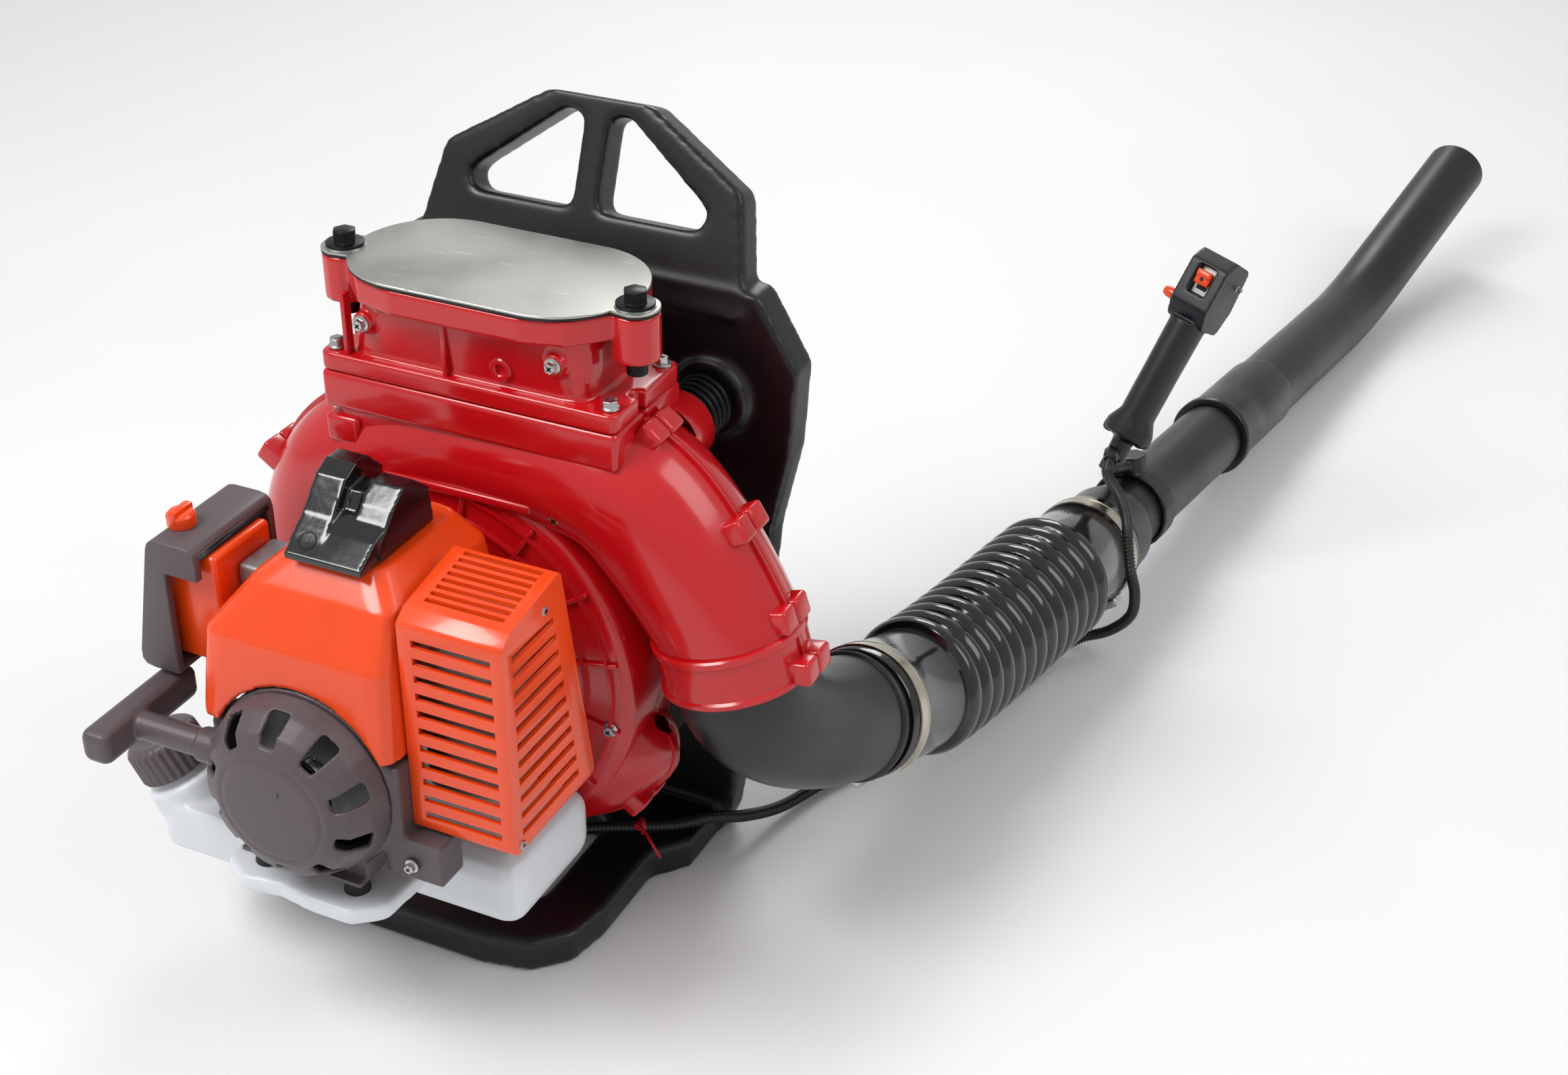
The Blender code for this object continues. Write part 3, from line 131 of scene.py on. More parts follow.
looks = {
    # glossy nylon: a sharp window in it, with the faint waviness of a big moulding
    "redNylon": dict(colour="C50F17", rough=(0.16, 0.24), patchMm=70, grainMm=9, grainDeepMm=0.05, coat=0.35),
    "orangeAbs": dict(colour="F24A10", rough=(0.2, 0.3), patchMm=50, grainMm=7, grainDeepMm=0.04, coat=0.25),
    # fine spark-eroded texture that spreads the light
    "greyNylon": dict(colour="574C4F", rough=(0.38, 0.5), patchMm=40, grainMm=0.7, grainDeepMm=0.03),
    "blackPolyethylene": dict(colour="0D0E12", rough=(0.3, 0.42), patchMm=80, grainMm=1.4, grainDeepMm=0.05),
    "blackPolypropylene": dict(colour="0E0E11", rough=(0.3, 0.4), patchMm=60, grainMm=1.1, grainDeepMm=0.02),
    "elbowNylon": dict(colour="1A1B1E", rough=(0.3, 0.42), patchMm=45, grainMm=0.9, grainDeepMm=0.02),
    "hoseElastomer": dict(colour="0B0C11", rough=(0.1, 0.18), patchMm=30, grainMm=6, grainDeepMm=0.08,
                          coat=0.5),
    "gripNylon": dict(colour="12131A", rough=(0.34, 0.46), patchMm=30, grainMm=0.6, grainDeepMm=0.03),
    # natural polyethylene: light goes in and comes out softened
    "tankPolyethylene": dict(colour="E3E7EC", rough=(0.3, 0.42), patchMm=60, grainMm=3, grainDeepMm=0.06,
                             soft=0.35),
    "bandSteel": dict(colour="C9C2B2", rough=(0.2, 0.3), metal=1.0, patchMm=12, grainMm=0.5,
                      grainDeepMm=0.01),
    "sheetSteel": dict(colour="B4B5AF", rough=(0.3, 0.46), metal=1.0, patchMm=45, grainMm=0.5,
                       grainDeepMm=0.01,
                       stretch=(0.05, 1, 1), scuff="DADBD6", dim=0.88),
    "zincSteel": dict(colour="C6C7C6", rough=(0.22, 0.34), metal=1.0, patchMm=4, grainMm=0.4,
                      grainDeepMm=0.01),
    "blackOxideSteel": dict(colour="17181B", rough=(0.3, 0.42), metal=0.7, patchMm=5, grainMm=0.4,
                            grainDeepMm=0.01),
    "castAlloy": dict(colour="9C9D9F", rough=(0.42, 0.58), metal=1.0, patchMm=12, grainMm=0.8,
                      grainDeepMm=0.08),
    "mufflerSteel": dict(colour="8B8681", rough=(0.3, 0.5), metal=1.0, patchMm=20, grainMm=0.7,
                         grainDeepMm=0.02),
    "blackRubber": dict(colour="18191A", rough=(0.6, 0.8), patchMm=10, grainMm=0.5, grainDeepMm=0.05),
    "redPolypropylene": dict(colour="C4181B", rough=(0.3, 0.4), patchMm=10, grainMm=0.6, grainDeepMm=0.02),
    "whiteNylon": dict(colour="EDEDEA", rough=(0.3, 0.4), patchMm=8, grainMm=0.6, grainDeepMm=0.01),
    # woven straps: threads catch the light in rows
    "nylonWebbing": dict(colour="16171A", rough=(0.7, 0.9), patchMm=25, grainMm=1, grainDeepMm=0.35,
                         weaveMm=2.2),
    "meshFabric": dict(colour="1B1C20", rough=(0.75, 0.95), patchMm=30, grainMm=1, grainDeepMm=0.5,
                       weaveMm=3.0),
}
materials = {name: surface(name, look) for name, look in looks.items()}
print("materials:", len(materials))


def show(name, mesh, look, sharp=40):
    mesh.materials.clear()
    mesh.materials.append(materials[look])
    mesh.shade_smooth()
    mesh.set_sharp_from_angle(angle=math.radians(sharp))
    piece = bpy.data.objects.new(name, mesh)
    scene.collection.objects.link(piece)
    return piece


def standFor(piece, *nodes):
    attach(piece, bodyOf[nodes[0]])
    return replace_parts(piece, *nodes)


def goWith(piece, node):
    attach(piece, bodyOf[node])
    return piece


def fromBmesh(name, mesh, look, sharp=40):
    # a bmesh in millimetres becomes a shown piece
    bmesh.ops.recalc_face_normals(mesh, faces=mesh.faces)
    bmesh.ops.scale(mesh, vec=(MM, MM, MM), verts=mesh.verts)
    data = bpy.data.meshes.new(name)
    mesh.to_mesh(data)
    mesh.free()
    return show(name, data, look, sharp)


def skin(loops, closed=True, caps=(True, True), mesh=None):
    mesh = mesh or bmesh.new()
    rows = [[mesh.verts.new(point) for point in loop] for loop in loops]
    for near, far in zip(rows, rows[1:]):
        for i in range(0 if closed else 1, len(near)):
            mesh.faces.new((near[i], near[i - 1], far[i - 1], far[i]))
    if caps[0]:
        mesh.faces.new(rows[0])
    if caps[1]:
        mesh.faces.new(list(reversed(rows[-1])))
    return mesh


def travel(path):
    # point, direction and two square directions along a path, without twist
    ways = [(path[min(i + 1, len(path) - 1)] - path[max(i - 1, 0)]).normalized() for i in range(len(path))]
    side = ways[0].orthogonal().normalized()
    stations = []
    for point, way in zip(path, ways):
        side = (side - way * side.dot(way)).normalized()
        stations.append((point, way, side, way.cross(side)))
    return stations


def ring(centre, side, rise, radius, sides):
    angles = [2 * math.pi * i / sides for i in range(sides)]
    return [centre + radius * (math.cos(a) * side + math.sin(a) * rise) for a in angles]


def sweep(path, radii, sides=40, caps=(True, True), mesh=None):
    radii = radii if isinstance(radii, (list, tuple)) else [radii] * len(path)
    loops = [ring(p, side, rise, r, sides) for (p, way, side, rise), r in zip(travel(path), radii)]
    return skin(loops, caps=caps, mesh=mesh)


def spin(profile, centre, axis, sides=56, caps=(True, True), mesh=None):
    way = Vector(axis).normalized()
    side = way.orthogonal().normalized()
    loops = [ring(Vector(centre) + way * h, side, way.cross(side), r, sides) for r, h in profile]
    return skin(loops, caps=caps, mesh=mesh)


def softBox(low, high, edge, steps=3, matrix=None, mesh=None):
    box = bmesh.new()
    size = Vector(high) - Vector(low)
    bmesh.ops.create_cube(box, size=1.0)
    bmesh.ops.scale(box, vec=size, verts=box.verts)
    bmesh.ops.translate(box, vec=(Vector(low) + Vector(high)) / 2, verts=box.verts)
    bmesh.ops.bevel(box, geom=box.edges[:], offset=edge, segments=steps, profile=0.5, affect="EDGES")
    if matrix:
        bmesh.ops.transform(box, matrix=matrix, verts=box.verts)
    if mesh is None:
        return box
    data = bpy.data.meshes.new("join")
    box.to_mesh(data)
    box.free()
    mesh.from_mesh(data)
    bpy.data.meshes.remove(data)
    return mesh


def curvePoints(points, each):
    # a smooth curve through the points, with so many steps between two of them
    points = [Vector(p) for p in points]
    ends = [points[0] * 2 - points[1]] + points + [points[-1] * 2 - points[-2]]
    path = []
    for i in range(len(points) - 1):
        a, b, c, d = ends[i:i + 4]
        for k in range(each):
            t = k / each
            path.append(0.5 * ((2 * b) + (c - a) * t + (2 * a - 5 * b + 4 * c - d) * t ** 2
                               + (3 * b - a - 3 * c + d) * t ** 3))
    return path + [points[-1]]


def bezier(start, startWay, end, endWay, count, pull):
    reach = (end - start).length * pull
    a, b = start + startWay * reach, end - endWay * reach
    path = []
    for k in range(count):
        t = k / (count - 1)
        path.append((1 - t) ** 3 * start + 3 * (1 - t) ** 2 * t * a + 3 * (1 - t) * t ** 2 * b + t ** 3 * end)
    return path


def along(path, distance):
    ways = [(far - near).normalized() for near, far in zip(path, path[1:])]
    if distance < 0:
        return path[0] + ways[0] * distance
    for near, far, way in zip(path, path[1:], ways):
        span = (far - near).length
        if distance <= span:
            return near + way * distance
        distance -= span
    return path[-1] + ways[-1] * distance


def pathLength(path):
    return sum((far - near).length for near, far in zip(path, path[1:]))


def cadMesh(node):
    mesh = bmesh.new()
    mesh.from_mesh(frame["nodes"][node].data)
    bmesh.ops.remove_doubles(mesh, verts=mesh.verts, dist=0.00001)
    return mesh


def eased(node, look, edgeMm, steps=3):
    # the CAD shape with its corners broken, as a moulding or casting has them
    mesh = cadMesh(node)
    bmesh.ops.dissolve_limit(mesh, angle_limit=math.radians(1), verts=mesh.verts, edges=mesh.edges)
    sharp = [e for e in mesh.edges if len(e.link_faces) == 2 and e.calc_face_angle() > math.radians(28)]
    bmesh.ops.bevel(mesh, geom=sharp, offset=edgeMm * MM, segments=steps, profile=0.5, affect="EDGES",
                    clamp_overlap=True)
    data = bpy.data.meshes.new(node + "Eased")
    mesh.to_mesh(data)
    mesh.free()
    return standFor(show(node + "Eased", data, look), node)


def rolledOver(mesh, voxelMm, passes, keep):
    # one closed skin over the whole shape, its edges smoothed away
    data = bpy.data.meshes.new("draft")
    mesh.to_mesh(data)
    mesh.free()
    draft = bpy.data.objects.new("draft", data)
    scene.collection.objects.link(draft)
    remesh = draft.modifiers.new("Remesh", "REMESH")
    remesh.mode, remesh.voxel_size = "VOXEL", voxelMm * MM
    smooth = draft.modifiers.new("Smooth", "SMOOTH")
    smooth.factor, smooth.iterations = 0.5, passes
    thin = draft.modifiers.new("Decimate", "DECIMATE")
    thin.ratio = keep
    result = bpy.data.meshes.new_from_object(draft.evaluated_get(bpy.context.evaluated_depsgraph_get()))
    bpy.data.objects.remove(draft)
    return result


def melted(node, look, voxelMm, passes, keep=0.4):
    # the CAD shape with every edge rolled over, for blow mouldings and thick covers
    return standFor(show(node + "Melted", rolledOver(cadMesh(node), voxelMm, passes, keep), look, 60), node)


# camera: a short telephoto from the front right, a little above the machine
camera = dict(place=(0.6663, -1.130, 1.000), turn=24.6, down=30.8, roll=0.6, lens=51.12)
lens = bpy.data.cameras.new("camera")
viewer = bpy.data.objects.new("camera", lens)
scene.collection.objects.link(viewer)
scene.camera = viewer
lens.sensor_width, lens.lens, lens.clip_start, lens.clip_end = 36, camera["lens"], 0.05, 30
viewer.matrix_world = (Matrix.Translation(camera["place"]) @ Matrix.Rotation(math.radians(camera["turn"]),
                                                                             4, "Z")
                       @ Matrix.Rotation(math.radians(90 - camera["down"]), 4, "X")
                       @ Matrix.Rotation(math.radians(camera["roll"]), 4, "Z"))

# conduit: one corrugated split tube, in three stretches so that it follows the tube's joints
conduit = dict(radius=4.5, valley=3.6, pitch=2.8, breaks=(5, 15), route=[
    (248, 414.5, 135.5), (250, 402, 130.5), (259, 386, 131), (271, 369, 130.5), (283, 350, 124), (291, 331,
                                                                                                  116),
    (299, 318, 97), (303, 322, 75), (299, 332, 48), (281, 340, 24), (258, 338, 11), (240, 310, 6), (226,
                                                                                                    260, 5),
    (208, 210, 5), (186, 160, 5), (165, 120, 5), (146, 80, 5), (132, 38, 8), (119, 4, 19), (105, -22, 31),
    (88, -42, 33), (66, -62, 38), (42, -84, 44), (14, -108, 46), (-12, -131, 50), (-25, -142, 66),
    (-30, -143, 92), (-30, -143, 118)])
whole = curvePoints(conduit["route"], 8)
firstBreak, secondBreak = (8 * k for k in conduit["breaks"])
stretches = (("conduitTube", "conduit_tube", whole[:firstBreak + 1]),
             ("conduitHose", "conduit_hose", whole[firstBreak:secondBreak + 1]),
             ("conduitFrame", "conduit_frame", whole[secondBreak:]))
for name, node, line in stretches:
    length = pathLength(line)
    turns = round(length / conduit["pitch"])
    fine = [along(line, length * k / (turns * 4)) for k in range(turns * 4 + 1)]
    wide = [conduit["radius"] if k % 4 in (1, 2) else conduit["valley"] for k in range(len(fine))]
    piece = fromBmesh(name, sweep(fine, wide, 12), "blackPolypropylene", 80)
    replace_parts(piece, node)
    if name == "conduitTube":
        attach(piece, "tube_body")
    elif name == "conduitHose":
        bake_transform(piece)
    else:
        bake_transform(piece)
tie = dict(at=(70, -58.5, 37))
tieWay = Vector((-0.75, -0.65, 0.1)).normalized()
tieMesh = spin([(4.7, -1.3), (5.8, -1.3), (5.8, 1.3), (4.7, 1.3)], tie["at"], tieWay, 24, (False, False))
knot = Vector(tie["at"]) + Vector((0, -4.6, 3.5))
tieTail = curvePoints([knot, knot + Vector((8, -8, 5)), knot + Vector((17, -15, 3)),
                       knot + Vector((26, -18, -6))], 6)
sweep(tieTail, 1.1, 6, mesh=tieMesh)
softBox(knot - Vector((2.6, 2.6, 2.2)), knot + Vector((2.6, 2.6, 2.2)), 0.6, mesh=tieMesh)
goWith(fromBmesh("cableTie", tieMesh, "redPolypropylene"), "conduit_frame")
print("camera and conduit done")

# blower housing: spiral duct, drum, flange and collar in two glossy halves
volute = dict(crank=(-30, -97, 200), drumR=137, drumHalf=37, lip=2.4, outlet=(164, -97, 218), tilt=13.6,
              outletR=46, collarR=49.5, collarH=32, stations=[
                  (-27, 132, 30), (-45, 125, 32), (-65, 116, 33), (-90, 108, 33), (-115, 104, 34), (-140,
                                                                                                    104, 36),
                  (-165, 108, 38), (-190, 115, 39), (-208, 123, 40), (-225, 131, 41), (-240, 135, 41.5),
                  (-258, 136, 42), (-275, 140, 42), (-290, 149, 43), (-301, 163, 44.5), (-313, 180, 48),
                  (-327, 184, 48)])
crank = Vector(volute["crank"])
outlet = Vector(volute["outlet"])
tilt = math.radians(volute["tilt"])
outletWay = Vector((math.sin(tilt), 0, -math.cos(tilt)))
spine = []
for angle, reach, radius in volute["stations"]:
    a = math.radians(angle)
    spine.append(Vector((crank.x + reach * math.cos(a), radius, crank.z + reach * math.sin(a))))
spine += [Vector((p.x, volute["outletR"], p.z)) for p in (outlet - outletWay * volute["collarH"], outlet)]
spine = curvePoints(spine, 6)         # the radius travels in the unused Y
ductRadii = [p.y for p in spine]
ductPath = [Vector((p.x, crank.y, p.z)) for p in spine]
lead = (ductPath[0] - ductPath[1]).normalized()
startR = ductRadii[0]                 # round closed end
capPath = [ductPath[0] + lead * startR * math.sin(math.pi / 2 * k / 8) for k in range(7, 0, -1)]
capRadii = [startR * math.cos(math.pi / 2 * k / 8) for k in range(7, 0, -1)]
ductWays = [-lead] * 7 + [(ductPath[min(i + 1, len(ductPath) - 1)] - ductPath[max(i - 1, 0)]).normalized()
                          for i in range(len(ductPath))]
ductPath, ductRadii = capPath + ductPath, capRadii + ductRadii


def voluteHalf(front):
    turn = -1 if front else 1
    deep = Vector((0, turn, 0))
    loops = []
    for point, way, radius in zip(ductPath, ductWays, ductRadii):
        side = way.cross(Vector((0, 1, 0))).normalized()
        edge = radius + volute["lip"]
        loop = [point + side * edge + deep * 0.2, point + side * edge + deep * 2.8]
        for k in range(25):
            a = math.pi * k / 24
            reach = max(math.sin(a) * radius, 2.8)
            loop.append(point + side * math.cos(a) * radius + deep * reach)
        loop += [point - side * edge + deep * 2.8, point - side * edge + deep * 0.2]
        loops.append(loop)
    mesh = skin(loops, closed=False, caps=(False, False))
    r, half = volute["drumR"], volute["drumHalf"]
    inner = 16 if front else 60
    drum = [(inner, half - 4), (inner, half), (r - 8, half), (r - 4, half - 1.2), (r - 1, half - 4),
            (r, half - 8), (r, 0.2)]
    spin(drum, crank, deep, 96, (False, False), mesh)
    for radius in ((62, 106, 124) if front else (66, 100)):      # ribs round the shaft
        spin([(radius - 1.3, half - 1), (radius - 1, half + 3.5), (radius + 1, half + 3.5),
              (radius + 1.3, half - 1)],
             crank, deep, 96, (False, False), mesh)
    for k in range(16):                                           # and out to the rim
        a = 2 * math.pi * (k + 0.5) / 16
        spoke = Matrix.Translation(crank) @ Matrix.Rotation(-a, 4, "Y")
        low, high = sorted((turn * (half - 1), turn * (half + 3)))
        softBox((64, low, -1.2), (r - 6, high, 1.2), 0.6, 2, spoke, mesh)
    low, high = (-136, -97.2) if front else (-96.8, -52)
    softBox((-103, low, 362), (103, high, 387.7), 4, 4, mesh=mesh)
    softBox((-96, low + (4 if front else 0), 340), (96, high - (0 if front else 4), 366), 6, 4, mesh=mesh)
    if front:
        for x in (-91, 91):                                       # corners with the screws' pockets
            softBox((x - 12, -136, 338), (x + 12, -108, 357), 3, 3, mesh=mesh)
            softBox((x - 12, -121, 350), (x + 12, -104, 370), 3, 3, mesh=mesh)
        softBox((-60, -140, 322), (44, -134, 328), 1.5, 2, mesh=mesh)
    return mesh


standFor(fromBmesh("voluteFrontHalf", voluteHalf(True), "redNylon", 50), "volute_front")
standFor(fromBmesh("voluteRearHalf", voluteHalf(False), "redNylon", 50), "volute_rear")
cr, ch = volute["collarR"], volute["collarH"]
collar = [(cr - 6, -ch - 2), (cr - 1.2, -ch - 2), (cr, -ch - 0.8), (cr, -ch + 3), (cr - 1.6, -ch + 4.4),
          (cr - 1.6, -5),
          (cr, -3.6), (cr, -1), (cr - 1, 0), (44.4, 0), (44.2, -28)]
goWith(fromBmesh("outletCollar", spin(collar, outlet, outletWay, 88, (False, False)), "redNylon"),
       "volute_front")
cups = bmesh.new()
for x in (-97, 97):                   # seats of the two springs
    spin([(0.5, -50), (19, -50), (19, -41.5), (23, -41.5), (24, -43), (24, -66)], (x, 0, 351), (0, 1, 0), 48,
         (True, False), cups)
for x in (-72, 72):                   # and of the two rubber blocks
    spin([(0.5, -59), (18, -59), (19, -60), (19, -86)], (x, 0, 112), (0, 1, 0), 48, (True, False), cups)
goWith(fromBmesh("isolatorSeats", cups, "redNylon"), "volute_rear")
lugs = dict(spots=[(110, 376), (167, 325), (196, 270), (211, 238), (-170, 299), (-182, 190), (-134, 98),
                   (-38, 56),
                   (92, 100)], front=(-113, -97.3), rear=(-96.7, -80))
for name, (low, high), node in (("lugsFront", lugs["front"], "volute_front"),
                                ("lugsRear", lugs["rear"], "volute_rear")):
    mesh = bmesh.new()
    for x, z in lugs["spots"]:
        turn = Matrix.Translation((x, 0, z)) @ Matrix.Rotation(-math.atan2(z - 200, x + 30), 4, "Y")
        softBox((-15, low, -8), (7.5, high, 8), 2.6, 3, turn, mesh)
        softBox((-17, low + 3, -5), (-4, high - 3, 5), 2, 3, turn, mesh)
    goWith(fromBmesh(name, mesh, "redNylon"), node)
print("housing done")


def screwHead(name, point, way, node, radius=5.0):
    # hexagon flange screw with a cross recess
    way = Vector(way).normalized()
    point = Vector(point)
    mesh = spin([(radius * 1.25, 0), (radius * 1.25, 1.0), (radius * 0.95, 1.5)], point, way, 28)
    spin([(radius * 0.9, 1.0), (radius * 0.9, 4.2), (radius * 0.78, 5.0)], point, way, 6, mesh=mesh)
    goWith(fromBmesh(name, mesh, "zincSteel", 30), node)
    side = way.orthogonal().normalized()
    turn = Matrix((side, way.cross(side), way)).transposed().to_4x4()
    turn.translation = point
    # the cross recess is painted shade: a dark black-oxide cross laid just proud of the zinc head
    cross = bmesh.new()
    softBox((-radius * 0.5, -0.6, 4.7), (radius * 0.5, 0.6, 5.05), 0.1, 1, turn, cross)
    softBox((-0.6, -radius * 0.5, 4.7), (0.6, radius * 0.5, 5.05), 0.1, 1, turn, cross)
    goWith(fromBmesh(name + "RecessPaintedShade", cross, "blackOxideSteel"), node)


for k, (x, y, z) in enumerate([(-70, -134, 424), (62, -134, 424)]):
    screwHead(f"adapterScrew{k}", (x, y, z), (0, -1, 0), "adapter_neck", 4.2)
for k, (x, y) in enumerate([(-95, -61.5), (95, -61.5)]):
    screwHead(f"flangeScrewRear{k}", (x, y, 400.2), (0, 0, 1), "adapter_neck", 4.8)
for k, (x, z) in enumerate([(-76, 316), (60, 322), (92, 176)]):
    screwHead(f"housingScrew{k}", (x, -134.5, z), (0, -1, 0), "volute_front", 4.0)

# adapter, plate and bolts
melted("adapter_neck", "redNylon", 1.3, 4)
neckFront = spin([(3.4, -4), (3.4, 2.2), (4.2, 3), (6.6, 3), (7.4, 2.2), (7.8, -4)], (24, -129, 412),
                 (0, -1, 0), 40,
                 (False, False))
for x in (-84, -14):
    softBox((x - 1.6, -133, 400), (x + 1.6, -126, 440), 0.7, 2, mesh=neckFront)
goWith(fromBmesh("neckRibsAndEye", neckFront, "redNylon"), "adapter_neck")
lid = dict(half=97, radius=53.5, y=-89, earX=100, earY=-102, earR=15, hole=4.6)


def lidInside(x, y, shrink):
    straight = lid["half"] - lid["radius"]
    body = math.hypot(max(abs(x) - straight, 0), y - lid["y"]) <= lid["radius"] - shrink
    return body or math.hypot(abs(x) - lid["earX"], y - lid["earY"]) <= lid["earR"] - shrink


def lidLoop(z, shrink):
    # the outline met by rays from the middle
    loop = []
    for k in range(360):
        a = math.radians(k)
        reach = 130.0
        while not lidInside(math.cos(a) * reach, lid["y"] + math.sin(a) * reach, shrink):
            reach -= 0.2
        loop.append(Vector((math.cos(a) * reach, lid["y"] + math.sin(a) * reach, z)))
    return loop


for name, node, low, high, look in (("blankingSheet", "blanking_plate", 455.8, 457.4, "sheetSteel"),
                                    ("gasketSheet", "plate_gasket", 454.3, 455.5, "blackRubber")):
    levels = [lidLoop(low, 0.3), lidLoop(low + 0.3, 0), lidLoop(high - 0.3, 0), lidLoop(high, 0.3)]
    standFor(fromBmesh(name, skin(levels), look, 30), node)
for node in ("plate_bolt_left", "plate_bolt_right"):
    eased(node, "blackOxideSteel", 0.5, 2)
    low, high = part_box(node)
    middle = (low + high) / 2 * 1000
    washer = spin([(4.2, 456.4), (12.6, 456.4), (12.6, 458.2), (4.2, 458.2)], (middle.x, middle.y, 0),
                  (0, 0, 1), 48,
                  (False, False))
    goWith(fromBmesh(node + "Washer", washer, "zincSteel"), node)
for node in ("flange_screw_left", "flange_screw_right"):
    eased(node, "zincSteel", 0.3, 2)

# carrying frame, springs, rubbers and harness
melted("back_frame", "blackPolyethylene", 2.2, 16, 0.6)
springs = dict(radius=18, wire=2.6, low=-41, high=-7, turns=4.5, z=351)
for node, x in (("isolator_spring_left", -97), ("isolator_spring_right", 97)):
    coil = []
    steps = int(springs["turns"] * 24)
    for k in range(steps + 1):
        a = 2 * math.pi * k / 24
        rise = springs["low"] + 3 + (springs["high"] - springs["low"] - 6) * k / steps
        coil.append(Vector((x + springs["radius"] * math.cos(a), rise,
                            springs["z"] + springs["radius"] * math.sin(a))))
    standFor(fromBmesh(node + "Coil", sweep(coil, springs["wire"], 12), "blackOxideSteel", 60), node)
for node in ("isolator_rubber_left", "isolator_rubber_right"):
    eased(node, "blackRubber", 1.5)
pad = melted("back_pad", "meshFabric", 3.0, 6)
for vertex in pad.data.vertices:      # quilted: the face sinks along its seams
    x, y, z = (c * 1000 for c in vertex.co)
    if y > 40:
        seam = min(abs(x), abs(abs(x) - 42) * 1.2, abs(z - 180), abs(z - 250), abs(z - 320))
        vertex.co.y -= 4.5 * math.exp(-(seam / 4.5) ** 2) * MM
strap = dict(wide=24, thick=4, points=[(50, 36, 404), (56, 58, 404), (60, 78, 380), (62, 88, 330),
                                       (62, 90, 270),
                                       (66, 80, 190), (72, 62, 125), (78, 36, 80)])
for node, side in (("shoulder_strap_left", -1), ("shoulder_strap_right", 1)):
    path = curvePoints([(side * x, y, z) for x, y, z in strap["points"]], 8)
    across = Vector((1, 0, 0))
    loops, edges = [], ([], [])
    for point, way, a, b in travel(path):
        out = way.cross(across).normalized()
        loop = []
        for k in range(24):
            angle = 2 * math.pi * k / 24
            c, s = math.cos(angle), math.sin(angle)
            square = (abs(c) ** 4 + abs(s) ** 4) ** -0.25      # flat oval
            loop.append(point + across * c * square * (strap["wide"] - 1) + out * s * square * strap["thick"])
        loops.append(loop)
        edges[0].append(point + across * (strap["wide"] - 2))
        edges[1].append(point - across * (strap["wide"] - 2))
    piece = standFor(fromBmesh(node + "Padded", skin(loops), "nylonWebbing", 60), node)
    binding = sweep(edges[0], 3.1, 12)
    sweep(edges[1], 3.1, 12, mesh=binding)
    goWith(fromBmesh(node + "Binding", binding, "blackRubber", 60), node)
    low = path[-12]
    buckle = bmesh.new()
    turn = Matrix.Translation(low) @ Matrix.Rotation(math.radians(-34), 4, "X")
    for z in (-13, 0, 13):
        softBox((-28, 3, z - 2.5), (28, 8, z + 2.5), 1.6, 3, turn, buckle)
    for x in (-28, 28):
        softBox((x - 3, 3, -15.5), (x + 3, 8, 15.5), 1.6, 3, turn, buckle)
    goWith(fromBmesh(node + "Buckle", buckle, "blackPolypropylene"), node)
print("frame and harness done")

# engine
melted("engine_cover", "orangeAbs", 1.4, 7)
eased("muffler_guard", "orangeAbs", 0.8, 2)


def slab(outline, low, high, mesh):
    # a side outline carried from one X to another
    return skin([[Vector((x, y, z)) for y, z in outline] for x in (low, high)], mesh=mesh)


# plug cover: a tall arch beside a lower one with a valley between them, and a foot with a round hole
plug = dict(tall=[(-256, 335.4), (-254, 345), (-240, 355), (-224, 373), (-213, 378), (-200, 377), (-188, 366),
                  (-186, 335.4)],
            low=[(-244, 335.4), (-242, 347), (-228, 362), (-216, 371), (-204, 371), (-190, 360),
                 (-187, 335.4)],
            foot=[(-262, 335.4), (-262, 340), (-246, 350), (-232, 356), (-190, 354), (-187, 335.4)])
plugMesh = bmesh.new()
slab(plug["tall"], -46, -25, plugMesh)
slab(plug["low"], -14, 8, plugMesh)
slab(plug["foot"], -45, 7, plugMesh)
slab([(-236, 348), (-222, 366), (-208, 368), (-192, 350)], -27, -12, plugMesh)
bmesh.ops.recalc_face_normals(plugMesh, faces=plugMesh.faces)
bmesh.ops.scale(plugMesh, vec=(MM, MM, MM), verts=plugMesh.verts)
plugSkin = rolledOver(plugMesh, 1.0, 6, 0.5)
standFor(show("plugCoverArches", plugSkin, "hoseElastomer", 60), "spark_plug_cover")
holeWay = Vector((0, -0.53, 0.85))
plugHole = spin([(0.4, -0.2), (4.6, -0.2), (5.4, 0.5), (6.0, 0.1)], (-34, -253.4, 345.6), holeWay, 36,
                (True, False))
goWith(fromBmesh("plugCoverHole", plugHole, "blackRubber"), "spark_plug_cover")
melted("starter_cover", "greyNylon", 1.1, 4)
hub = spin([(0.5, -1.4), (30, -1.4), (34, -0.6), (36.5, 1.6)], (-30, -320, 200), (0, 1, 0), 64, (True, False))
spin([(0.4, -2.2), (1.6, -2.2), (2.0, -1.3)], (-24, -320, 214), (0, 1, 0), 20, (True, False), hub)
goWith(fromBmesh("starterHubDisc", hub, "greyNylon"), "starter_cover")
melted("fan_housing", "greyNylon", 1.4, 3)
melted("starter_grip", "greyNylon", 0.9, 7)
eased("air_filter_cover", "greyNylon", 1.4)
eased("air_filter_body", "orangeAbs", 1.6)
melted("fuel_tank", "tankPolyethylene", 1.8, 12)
